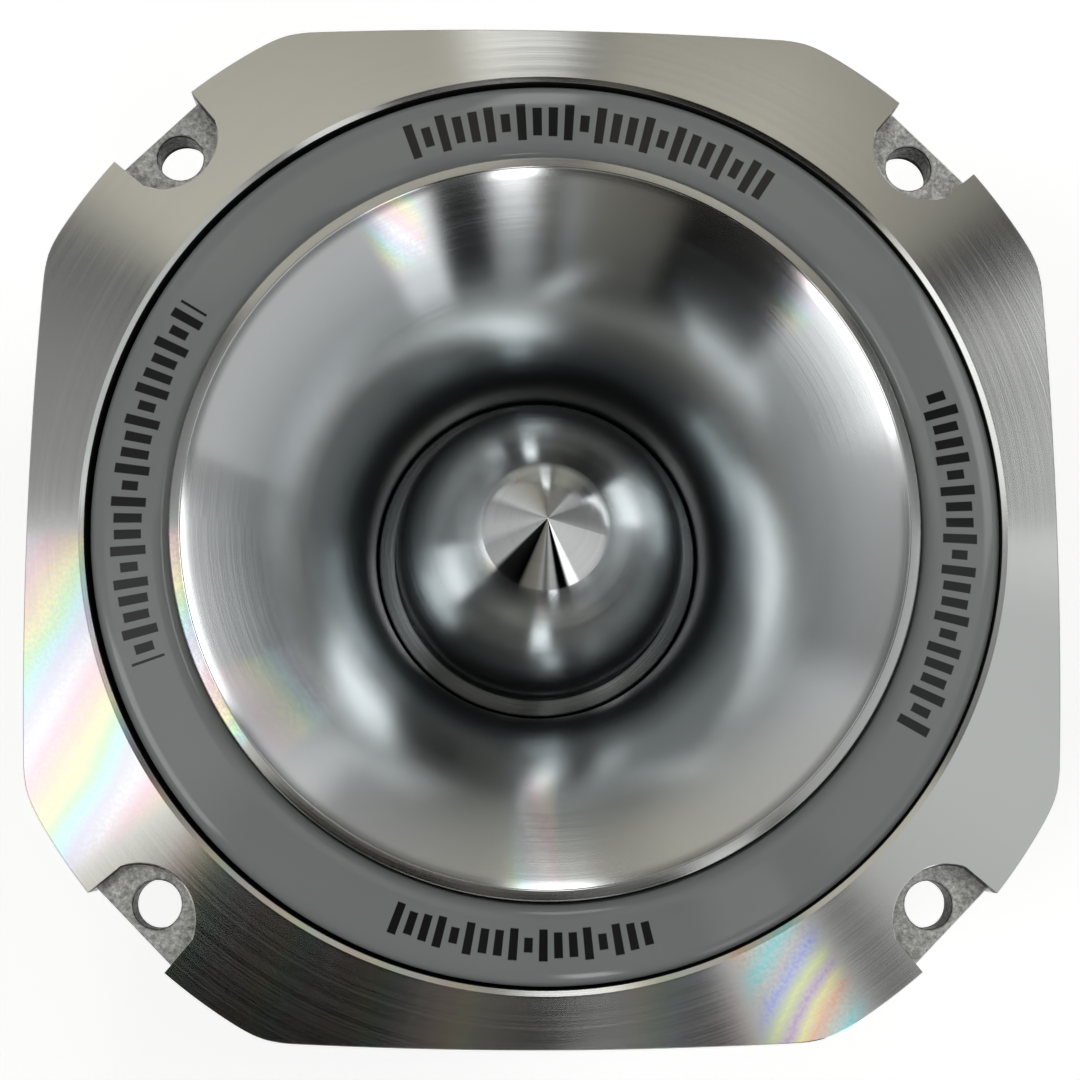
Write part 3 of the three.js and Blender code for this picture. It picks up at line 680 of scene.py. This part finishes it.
def flange_angles():
    """(angle, in a pad) for every section; a pad has sections of its own at both its ends."""
    half = SIDE_HALF - SIDE_BOW
    corner = math.atan2(math.sqrt(CORNER_RADIUS ** 2 - half ** 2), half)
    found = []
    for k in range(4):
        start = k * QUARTER
        end = start + QUARTER
        pad = start + QUARTER / 2
        pad_start, pad_end = pad - PAD_HALF_ANGLE, pad + PAD_HALF_ANGLE
        # from, to, steps, in a pad, with a section at its end as well
        stretches = [
            (start, start + corner, 40, False, False), (start + corner, pad_start, 26, False, True),
            (pad_start, pad_end, 48, True, True), (pad_end, end - corner, 26, False, False),
            (end - corner, end, 40, False, False),
        ]
        for low, high, steps, in_pad, closed in stretches:
            last = steps if closed else steps - 1
            found += [(low + (high - low) * i / steps, in_pad) for i in range(last + 1)]
    return found


def flange_plate():
    return swept("flange_plate", [column(angle, in_pad) for angle, in_pad in flange_angles()], FACET)


def hole_cutters():
    """The four mounting holes, each with a softened upper edge."""
    top = FACE_Z - PAD_DEPTH
    below = FLANGE_BOTTOM - MM
    above = top + 0.5 * MM
    wide = HOLE_RADIUS + 0.2 * MM
    profile = [
        (0, below), (HOLE_RADIUS, below), (HOLE_RADIUS, top - 0.25 * MM),
        (HOLE_RADIUS + 0.06 * MM, top - 0.08 * MM), (wide, top + 0.02 * MM), (wide, above), (0, above),
    ]
    return joined(*(turned(f"hole_cutter_{k}", profile, 72, centre)
                    for k, centre in enumerate(diagonal_points(HOLE_CIRCLE))))


def bosses():
    """The four pillars between the foot and the flange that the horn screws run down."""
    steps = 12
    profile = [(0, FOOT_TOP - MM)]
    for i in range(steps + 1):
        t = i / steps
        z = FOOT_TOP + (FLANGE_BOTTOM - FOOT_TOP) * t
        ends = max(0.0, 1 - t * 7) ** 2 + max(0.0, 1 - (1 - t) * 7) ** 2
        profile.append((BOSS_RADIUS + 0.9 * MM * ends - 0.25 * MM * (t - 0.5), z))
    profile.append((0, FLANGE_BOTTOM + MM))
    return joined(*(turned(f"boss_{k}", profile, 64, centre, angle=60)
                    for k, centre in enumerate(diagonal_points(SCREW_CIRCLE))))


def assign_flange_faces(piece):
    """Turned metal on top, painted shadow black in the groove, painted shade (a darkened casting) on the
    pads' walls and in the holes.
    """
    for face in piece.data.polygons:
        centre = face.center
        radius = math.hypot(centre.x, centre.y)
        in_groove = radius < GROOVE_RADIUS + 0.01 * MM and FLANGE_BOTTOM + MM < centre.z < FACE_Z - 0.15 * MM
        on_top = centre.z > FACE_Z - 0.2 * MM and face.normal.z > 0.3
        upright = abs(face.normal.z) < 0.35
        beside_pad = GROOVE_RADIUS + MM < radius < CORNER_RADIUS - 0.05 * MM
        # Painted shadow in the groove
        if in_groove:
            face.material_index = 2
        elif on_top and radius > GROOVE_RADIUS - 0.01 * MM:
            face.material_index = 0
        # Painted shade: the pads' walls and the holes take the darkened copy of the casting
        elif upright and beside_pad and outline_radius(math.atan2(centre.y, centre.x)) - radius > 0.6 * MM:
            face.material_index = 3
        else:
            face.material_index = 1


def flange():
    piece = smooth_by(joined(carved(flange_plate(), hole_cutters()), bosses()), FACET)
    finish_piece(piece, "root", [TURNED, CAST, GROOVE_PAINTED_SHADOW, PAINTED_SHADE_CAST])
    assign_flange_faces(piece)


# ------------------------------------------------------------------ the bullet

def bullet():
    """A ball that draws in towards the cone on its top, on a thin lip at the throat."""
    radius = 15.3 * MM
    belly = THROAT_Z + 8.1 * MM
    height = 20.5 * MM
    power = 1.5
    cone = 6.3 * MM
    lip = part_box("bullet")[1].x + 0.2 * MM
    bore, bore_end = 2.7 * MM, THROAT_Z + 12 * MM
    steps = 90
    cone_part = (1 - (cone / radius) ** power) ** (1 / power)
    dome = []
    for i in range(steps + 1):
        part = cone_part * math.sin(math.pi / 2 * i / steps)
        dome.append((radius * (1 - part ** power) ** (1 / power), belly + height * part))
    base = fillet(
        [(bore, THROAT_Z), (lip, THROAT_Z), (lip, THROAT_Z + 0.8 * MM),
         (15.1 * MM, THROAT_Z + 1.2 * MM), dome[0]],
        [0, 0, 0.25 * MM, 0.9 * MM, 0])
    top = dome[-1]
    point = (0.1 * MM, TIP_Z - 0.08 * MM)
    rows = 9
    slope = [(top[0] + (point[0] - top[0]) * i / rows, top[1] + (point[1] - top[1]) * i / rows)
             for i in range(1, rows + 1)]
    profile = [(0, bore_end), (bore, bore_end)] + base[:-1] + dome + slope + [(0, TIP_Z)]
    piece = turned("bullet_plug", profile, 320, angle=FACET)
    finish_piece(piece, "root", [POLISHED], ["bullet"])


# ------------------------------------------------------------------ the decal ring

RING_LOW, RING_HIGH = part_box("decal_resin_ring")
RING_SHIFT = (RING_LOW.x + RING_HIGH.x) / 2
RING_OUTER = (RING_HIGH.x - RING_LOW.x) / 2
RING_INNER = 36.15 * MM
RING_BASE = (36.1 * MM, 43.5 * MM)
RESIN_OVERHANG = 0.15 * MM

# Middle of each group of bars from the start, half its spread and pitch in degrees, tallest bar in mm
MARKS_START = 40.0
MARK_GROUPS = [
    (43.6, 27.0, 2.25, 1.9), (134.5, 25.6, 2.25, 1.7), (314.5, 24.6, 2.25, 1.7), (226.6, 18.0, 2.0, 1.5),
]


def printed_marks(nodes):
    """Groups of level-meter bars round the ring: 1 on a bar, 0 between."""
    radius, azimuth, _ = nodes.polar()
    turn = nodes.degrees_from(azimuth, MARKS_START)
    middle = (RING_INNER + RING_OUTER) / 2
    total = None
    for centre, spread, pitch, tall in MARK_GROUPS:
        along = nodes.math("DIVIDE", nodes.math("SUBTRACT", turn, centre), pitch)
        cell = nodes.math("FLOOR", along)
        inside = nodes.math("SUBTRACT", nodes.math("FRACT", along), 0.5)
        level = nodes.math("ABSOLUTE", nodes.math("SINE", nodes.math("MULTIPLY", cell, 1.9)))
        height = nodes.math("MULTIPLY_ADD", level, tall * 0.55 * MM, tall * 0.45 * MM)
        bar = nodes.smooth(nodes.math("ABSOLUTE", inside), 0.27, 0.31, 1.0, 0.0)
        off = nodes.math("ABSOLUTE", nodes.math("SUBTRACT", radius, middle))
        short = nodes.smooth(nodes.math("SUBTRACT", off, height), -0.04 * MM, 0.04 * MM, 1.0, 0.0)
        away = nodes.math("ABSOLUTE", nodes.math("SUBTRACT", turn, centre))
        group = nodes.math("LESS_THAN", away, spread)
        mark = nodes.math("MULTIPLY", nodes.math("MULTIPLY", bar, short), group)
        total = mark if total is None else nodes.math("MAXIMUM", total, mark)
    return total


def resin_material():
    """Clear glossy resin over grey print."""
    grey = (0.27, 0.29, 0.285)
    material, nodes, shader = new_material("printed_resin", grey, 0.0, 0.5)
    shader.inputs["Coat Weight"].default_value = 1.0
    shader.inputs["Coat Roughness"].default_value = 0.03
    shader.inputs["Coat IOR"].default_value = 1.42
    shader.inputs["Specular IOR Level"].default_value = 0.15
    blotch = nodes.noise(nodes.place(), 60.0, detail=2.0)
    base = nodes.ramp(blotch, [(0.3, tuple(c * 0.94 for c in grey)), (0.7, grey)])
    shade = nodes.mix(printed_marks(nodes), base, (0.004, 0.004, 0.005, 1))
    nodes.link(shade, shader.inputs["Base Color"])
    return material


def decal_ring():
    """The printed base in the groove and the domed resin on it."""
    inner, outer = RING_BASE
    under = GROOVE_FLOOR + 0.02 * MM
    soft = 0.1 * MM
    corners = [(inner, under), (outer, under), (outer, RING_LOW.z), (inner, RING_LOW.z)]
    base = fillet(corners, [0, soft, soft, 0])
    finish_piece(turned("decal_ring_base", base, FINE, (RING_SHIFT, 0)),
                 "root", [DECAL_GREY], ["decal_base_ring"])
    middle = (RING_INNER + RING_OUTER + RESIN_OVERHANG) / 2
    half = (RING_OUTER + RESIN_OVERHANG - RING_INNER) / 2
    bottom = RING_LOW.z + 0.01 * MM
    edge = RING_LOW.z + 0.9 * MM
    crown = RING_HIGH.z
    steps = 40
    dome = []
    for i in range(steps + 1):
        u = math.cos(math.pi * i / steps)
        rise = 0.4 * (1 - abs(u) ** 8) ** 0.5 + 0.6 * (1 - abs(u) ** 4)
        dome.append((middle + half * u, edge + (crown - edge) * rise))
    profile = [(middle - half, bottom), (middle + half, bottom)] + dome
    finish_piece(turned("resin_ring", profile, FINE, (RING_SHIFT, 0)),
                 "root", [resin_material()], ["decal_resin_ring"])


# ------------------------------------------------------------------ the motor

def disc_plate(name, inner, chamfer, bevel=0.15 * MM):
    """A plate with chamfered rims and softened edges, filling the node's own box."""
    low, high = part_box(name)
    outer = high.x
    corners = [
        (inner, low.z), (outer - chamfer, low.z), (outer, low.z + chamfer), (outer, high.z - chamfer),
        (outer - chamfer, high.z), (inner, high.z), (inner, low.z),
    ]
    points = fillet(corners, [0] + [bevel] * 4 + [0, 0], 3)
    return turned(name + "_fine", points[:-1], 240)


def motor():
    low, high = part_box("top_plate")
    plate = disc_plate("top_plate", 18.3 * MM, PLATE_CHAMFER)
    carved(plate, drill(diagonal_points(SCREW_CIRCLE), SCREW_CLEARANCE, low.z - MM, high.z + MM))
    magnet = disc_plate("magnet", 21.0 * MM, 0.7 * MM, 0.3 * MM)
    back_plate = disc_plate("back_plate", 10.1 * MM, PLATE_CHAMFER)
    finish_piece(smooth_by(plate), "root", [PLATED], ["top_plate"])
    finish_piece(magnet, "root", [FERRITE], ["magnet"])
    finish_piece(back_plate, "root", [PLATED], ["back_plate"])
    pole_piece()
    socket_screw("bullet_bolt", 5.0 * MM, 2.4 * MM, 0.8 * MM, "black_steel")
    washer()
    for i in (1, 2):
        socket_screw(f"terminal_screw_{i}", 1.4 * MM, 0.95 * MM, 0.45 * MM, "zinc_steel")


def pole_piece():
    """The pole, its spigot in the back plate, the counterbore in that and the bolt's hole."""
    low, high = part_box("pole_piece")
    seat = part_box("magnet")[0].z
    counterbore, spigot, bolt = 6.0 * MM, 10.0 * MM, 2.75 * MM
    profile = fillet(
        [(counterbore, seat), (counterbore, low.z), (spigot, low.z), (spigot, seat), (high.x, seat),
         (high.x, high.z), (bolt, high.z), (bolt, seat), (counterbore, seat)],
        [0, 0.3 * MM, 0.3 * MM, 0, 0.2 * MM, 0.4 * MM, 0.2 * MM, 0, 0], 3)
    finish_piece(turned("pole_fine", profile[:-1], 160), "root", [BLACK_STEEL], ["pole_piece"])


def washer():
    low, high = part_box("bullet_washer")
    hole = 2.7 * MM
    soft = 0.15 * MM
    profile = fillet(
        [(hole, high.z), (hole, low.z), (high.x, low.z), (high.x, high.z), (hole, high.z)],
        [0, soft, soft, soft, 0], 3)
    finish_piece(turned("washer_fine", profile[:-1], 96), "root", [PLATED], ["bullet_washer"])


def socket_screw(name, head, shank, pitch, slot):
    """A socket screw with a rounded head of a height, a hexagon socket and a real thread."""
    low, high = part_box(name)
    centre = middle_of(name)
    wide = (high.x - low.x) / 2
    start, end = low.z, high.z
    under = start + head
    profile = fillet([(0, start), (wide, start), (wide, under), (shank, under)],
                     [0, wide * 0.16, wide * 0.06, 0], 5)
    for i in range(int((end - under) / pitch)):
        z = under + pitch * (i + 0.5)
        profile += [(shank, z), (shank - pitch * 0.45, z + pitch * 0.5)]
    profile += [(shank * 0.75, end), (0, end)]
    screw = turned(name + "_fine", profile, 64, centre, angle=25)
    across = wide * 0.56
    socket = [(0, start - MM), (across * 1.12, start - MM), (across, start + 0.1 * MM),
              (across, start + head * 0.6), (0, start + head * 0.75)]
    carved(screw, turned("socket", socket, 6, centre))
    finish_piece(smooth_by(screw, 25), "root", [SLOT_FINISH[slot]], [name])


# ------------------------------------------------------------------ gasket and terminals

def mounting_gasket():
    """A foam ring under the flange, following its outline, with a hole at each mounting hole."""
    low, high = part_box("mounting_gasket")
    inner = GASKET_INNER
    soft = 0.3 * MM
    columns = []
    count = 480
    for i in range(count):
        angle = 2 * math.pi * i / count
        outer = min(outline_radius(angle) - GASKET_INSET, PAD_EDGE + 0.2 * MM)
        columns.append(section_at(angle, [
            (inner, high.z), (inner, low.z + soft), (inner + soft, low.z), (outer - soft, low.z),
            (outer - soft * 0.3, low.z + soft * 0.3), (outer, low.z + soft), (outer, high.z)]))
    piece = swept("gasket_fine", columns, 50)
    carved(piece, drill(diagonal_points(HOLE_CIRCLE), GASKET_HOLE, low.z - MM, high.z + MM))
    finish_piece(smooth_by(piece, 50), "root", [FOAM], ["mounting_gasket"])


def rounded_box(name, low, high, radius):
    """A box with rounded edges."""
    bm = bmesh.new()
    bmesh.ops.create_cube(bm, size=1.0)
    for vertex in bm.verts:
        vertex.co = Vector(((low[i] + high[i]) / 2 + vertex.co[i] * (high[i] - low[i])) for i in range(3))
    bmesh.ops.bevel(bm, geom=bm.edges[:], offset=radius, segments=4, profile=0.5, affect="EDGES")
    mesh = bpy.data.meshes.new(name)
    bm.to_mesh(mesh)
    bm.free()
    piece = bpy.data.objects.new(name, mesh)
    bpy.context.scene.collection.objects.link(piece)
    return smooth_by(piece, 35)


def terminal_block():
    """A moulded block with a bore for each post, a wire entry to it, and a raised plus and minus."""
    low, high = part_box("terminal_block")
    block = rounded_box("terminal_fine", low, high, 0.6 * MM)
    centres = [middle_of("terminal_button_red"), middle_of("terminal_button_black")]
    screws = [middle_of("terminal_screw_1"), middle_of("terminal_screw_2")]
    carved(block, drill(centres, POST_BORE, low.z - MM, low.z + POST_BORE_DEPTH))
    carved(block, drill(screws, TAPPED_HOLE, low.z - MM, high.z + MM))
    mouth, bore, deep = 1.35 * MM, 1.0 * MM, 5.8 * MM
    for x, _ in centres:
        entry = turned("entry", [(0, 0), (mouth, 0), (bore, 1.0 * MM), (bore, deep), (0, deep)], 40)
        place = Matrix.Translation((x, low.y - 0.3 * MM, WIRE_ENTRY_Z))
        entry.data.transform(place @ Matrix.Rotation(-math.pi / 2, 4, "X"))
        carved(block, entry)
    bar, thin = 1.1 * MM, 0.22 * MM
    z = high.z - 3.2 * MM
    front, back = low.y - 0.2 * MM, low.y + 0.3 * MM
    plus_x, minus_x = centres[0][0], centres[1][0]
    marks = [rounded_box("mark", (x - wide, front, z - tall), (x + wide, back, z + tall), 0.06 * MM)
             for x, wide, tall in ((plus_x, bar, thin), (plus_x, thin, bar), (minus_x, bar, thin))]
    joined(block, *marks)
    finish_piece(smooth_by(block, 35), "root", [BLACK_PLASTIC], ["terminal_block"])
    for colour, slot in (("red", "red_plastic"), ("black", "button_black")):
        terminal_button(colour, slot)
        button_spring(colour)


def terminal_button(colour, slot):
    """A round push post with a dished end, two grip rings and a cross hole for the wire."""
    node = f"terminal_button_{colour}"
    low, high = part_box(node)
    centre = middle_of(node)
    radius = (high.x - low.x) / 2
    waist = radius - 0.18 * MM
    profile = [(0, low.z + 0.35 * MM), (radius * 0.5, low.z + 0.22 * MM), (radius * 0.78, low.z)]
    profile += [(radius * 0.9, low.z + 0.05 * MM), (radius, low.z + 0.4 * MM)]
    for ring_z in (1.3, 2.2):
        z = low.z + ring_z * MM
        profile += [(radius, z), (waist, z + 0.12 * MM), (waist, z + 0.38 * MM), (radius, z + 0.5 * MM)]
    profile += [(radius, high.z - 0.2 * MM), (radius - 0.2 * MM, high.z), (0, high.z)]
    post = turned(f"button_{colour}_fine", profile, 72, centre, angle=28)
    hole = drill([(0, 0)], CROSS_HOLE_RADIUS, -3 * MM, 3 * MM, 32)
    hole.data.transform(Matrix.Translation((*centre, CROSS_HOLE_Z)) @ Matrix.Rotation(math.pi / 2, 4, "X"))
    carved(post, hole)
    finish_piece(smooth_by(post, 28), f"{colour}_post", [SLOT_FINISH[slot]], [node])


def button_spring(colour):
    """A coil spring behind the post, with closed ends."""
    low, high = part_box(f"button_spring_{colour}")
    x, y = middle_of(f"terminal_button_{colour}")
    wire = 0.25 * MM
    coil = 1.6 * MM
    turns, steps, sides = 4, 40, 10
    closed_part = 0.11
    count = turns * steps
    vertices = []
    for i in range(count + 1):
        angle = 2 * math.pi * i / steps
        rise = min(1.0, max(0.0, (i / count - closed_part) / (1 - 2 * closed_part)))
        z = low.z + wire + (high.z - low.z - 2 * wire) * rise
        for k in range(sides):
            side = 2 * math.pi * k / sides
            reach = coil + wire * math.cos(side)
            height = z + wire * math.sin(side)
            vertices.append((x + reach * math.cos(angle), y + reach * math.sin(angle), height))
    faces = [list(range(sides)), list(range(count * sides, (count + 1) * sides))]
    for i in range(count):
        for k in range(sides):
            m = (k + 1) % sides
            faces.append([i * sides + k, i * sides + m, (i + 1) * sides + m, (i + 1) * sides + k])
    spring = tidy_normals(mesh_object(f"spring_{colour}_fine", vertices, faces), 50)
    finish_piece(spring, "root", [SPRING_STEEL], [f"button_spring_{colour}"])
    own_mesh(spring)


# ------------------------------------------------------------------ camera, floor and light

CAMERA_PLACE = (-6.95 * MM, -27.35 * MM, FACE_Z + 175.2 * MM)
CAMERA_BACK = (-0.0354, -0.1435, 0.9890)
CAMERA_RIGHT = (0.9993, 0.0022, 0.0361)
LENS = 61.95
SENSOR = 36
FLOOR_RADIUS = 2.5
FLOOR_TOP = -0.2 * MM
FLOOR_BOTTOM = -10 * MM


def camera():
    """A hand-held view from a little below and left of the axis, about 175 mm from the face."""
    data = bpy.data.cameras.new("camera")
    data.sensor_width = SENSOR
    data.lens = LENS
    data.clip_start = 5 * MM
    piece = bpy.data.objects.new("camera", data)
    bpy.context.scene.collection.objects.link(piece)
    back = Vector(CAMERA_BACK).normalized()
    right = Vector(CAMERA_RIGHT)
    right = (right - back * right.dot(back)).normalized()
    turn = Matrix((right, back.cross(right), back)).transposed()
    piece.location = CAMERA_PLACE
    piece.rotation_mode = "QUATERNION"
    piece.rotation_quaternion = turn.to_quaternion()
    bpy.context.scene.camera = piece


def floor():
    """A wide pale disc that the motor's back stands on."""
    profile = [(0, FLOOR_TOP), (FLOOR_RADIUS, FLOOR_TOP), (FLOOR_RADIUS, FLOOR_BOTTOM), (0, FLOOR_BOTTOM)]
    piece = turned("floor", profile, 64)
    material, _, shader = new_material("pale_floor", (0.8, 0.8, 0.8), 0.0, 0.8)
    shader.inputs["Emission Color"].default_value = (1, 1, 1, 1)
    shader.inputs["Emission Strength"].default_value = 0.62
    shader.inputs["Specular IOR Level"].default_value = 0.1
    piece.data.materials.append(material)


def studio():
    """Soft light from all round: a ring of panels high over the object, one between, one low."""
    world = bpy.data.worlds.new("studio")
    bpy.context.scene.world = world
    world.use_nodes = True
    nodes = Nodes(world.node_tree)
    background = world.node_tree.nodes["Background"]
    x, y, z = nodes.split(nodes.add("ShaderNodeTexCoord").outputs["Generated"])
    off_x = nodes.math("MULTIPLY_ADD", z, -0.04, x)
    off_y = nodes.math("MULTIPLY_ADD", z, -0.154, y)
    high = nodes.ramp(around(nodes, off_x, off_y), panels(HIGH_PANELS))
    middle = nodes.ramp(around(nodes, x, y), panels(MIDDLE_PANELS))
    low = nodes.ramp(around(nodes, x, y), panels(LOW_PANELS))
    low = nodes.mix(nodes.smooth(z, -0.12, 0.30, 0.9, 0.0), low, (0, 0, 0, 1))
    tilted = nodes.math("MULTIPLY_ADD", y, 0.12, z)
    light = nodes.mix(nodes.smooth(tilted, 0.62, 0.70), low, middle)
    light = nodes.mix(nodes.smooth(z, 0.86, 0.91), light, high)
    seen = nodes.add("ShaderNodeLightPath").outputs["Is Camera Ray"]
    nodes.link(nodes.mix(seen, light, (1, 1, 1, 1)), background.inputs[0])


def around(nodes, x, y):
    """The direction's azimuth as a part of a whole turn."""
    return nodes.math("FRACT", nodes.math("DIVIDE", nodes.math("ARCTAN2", y, x), 2 * math.pi))


def panels(rows):
    """Colour stops round the turn from (degrees, brightness) or (degrees, brightness, tint) rows."""
    stops = []
    for degrees, level, *tint in rows:
        red, green, blue = tint[0] if tint else (1, 1, 1)
        stops.append((degrees / 360, (level * red, level * green, level * blue)))
    return stops


WARM = (1.05, 1.0, 0.86)
COOL = (0.97, 1.0, 1.0)

# The three rings of panels: (degrees round the axis, brightness, tint)
HIGH_PANELS = [
    (0, 0.26, COOL), (10, 0.14, COOL), (16, 0.02, COOL), (34, 0.0), (38, 0.30, WARM), (50, 0.48, WARM),
    (62, 0.62, WARM), (82, 0.50, WARM), (86, 0.10, WARM), (93, 0.10, WARM), (98, 0.50, WARM),
    (104, 0.54, WARM), (143, 0.60, WARM), (149, 0.13), (160, 0.24), (178, 0.32), (185, 1.0), (214, 1.2),
    (221, 0.50, WARM), (225, 0.0, WARM), (252, 0.0, WARM), (260, 0.09, WARM), (270, 0.0, WARM),
    (280, 0.14), (290, 0.0), (294.5, 0.9), (302, 0.95), (304, 0.12), (309, 0.12), (312, 0.52),
    (330, 0.62, COOL),
]
MIDDLE_PANELS = [
    (0, 0.08), (8, 0.10), (12, 2.2), (25, 3.0), (37, 2.9), (42, 0.04, WARM), (60, 0.02, WARM), (82, 0.04),
    (85, 3.0), (91, 3.0), (94, 0.06), (120, 0.08), (170, 0.10), (180, 0.80), (186, 3.8), (200, 3.8),
    (213, 3.4), (217, 0.10), (222, 0.03, WARM), (240, 0.02, WARM), (268, 0.04, WARM), (275, 0.20),
    (278, 5.5), (283, 5.5), (286, 0.08), (330, 0.06),
]
LOW_PANELS = [
    (0, 0.38), (8, 0.28), (14, 0.24), (32, 0.24), (38, 0.50), (53, 0.76), (58, 0.36), (84, 0.36, WARM),
    (90, 0.26, WARM), (106, 0.50, WARM), (140, 0.64), (148, 0.34), (172, 0.48), (182, 0.48), (192, 0.34),
    (212, 0.40), (217, 0.01), (243, 0.0), (248, 0.12, WARM), (262, 0.19, WARM), (267, 0.30),
    (272, 0.10, WARM), (278, 0.42), (283, 0.38), (286, 0.0), (295, 0.0), (298, 1.4), (306, 1.4),
    (309, 0.60),
]

dress_cad_nodes()
camera()
horn_flare()
flange()
bullet()
decal_ring()
motor()
mounting_gasket()
terminal_block()
floor()
studio()
bpy.context.scene.view_settings.view_transform = "Standard"
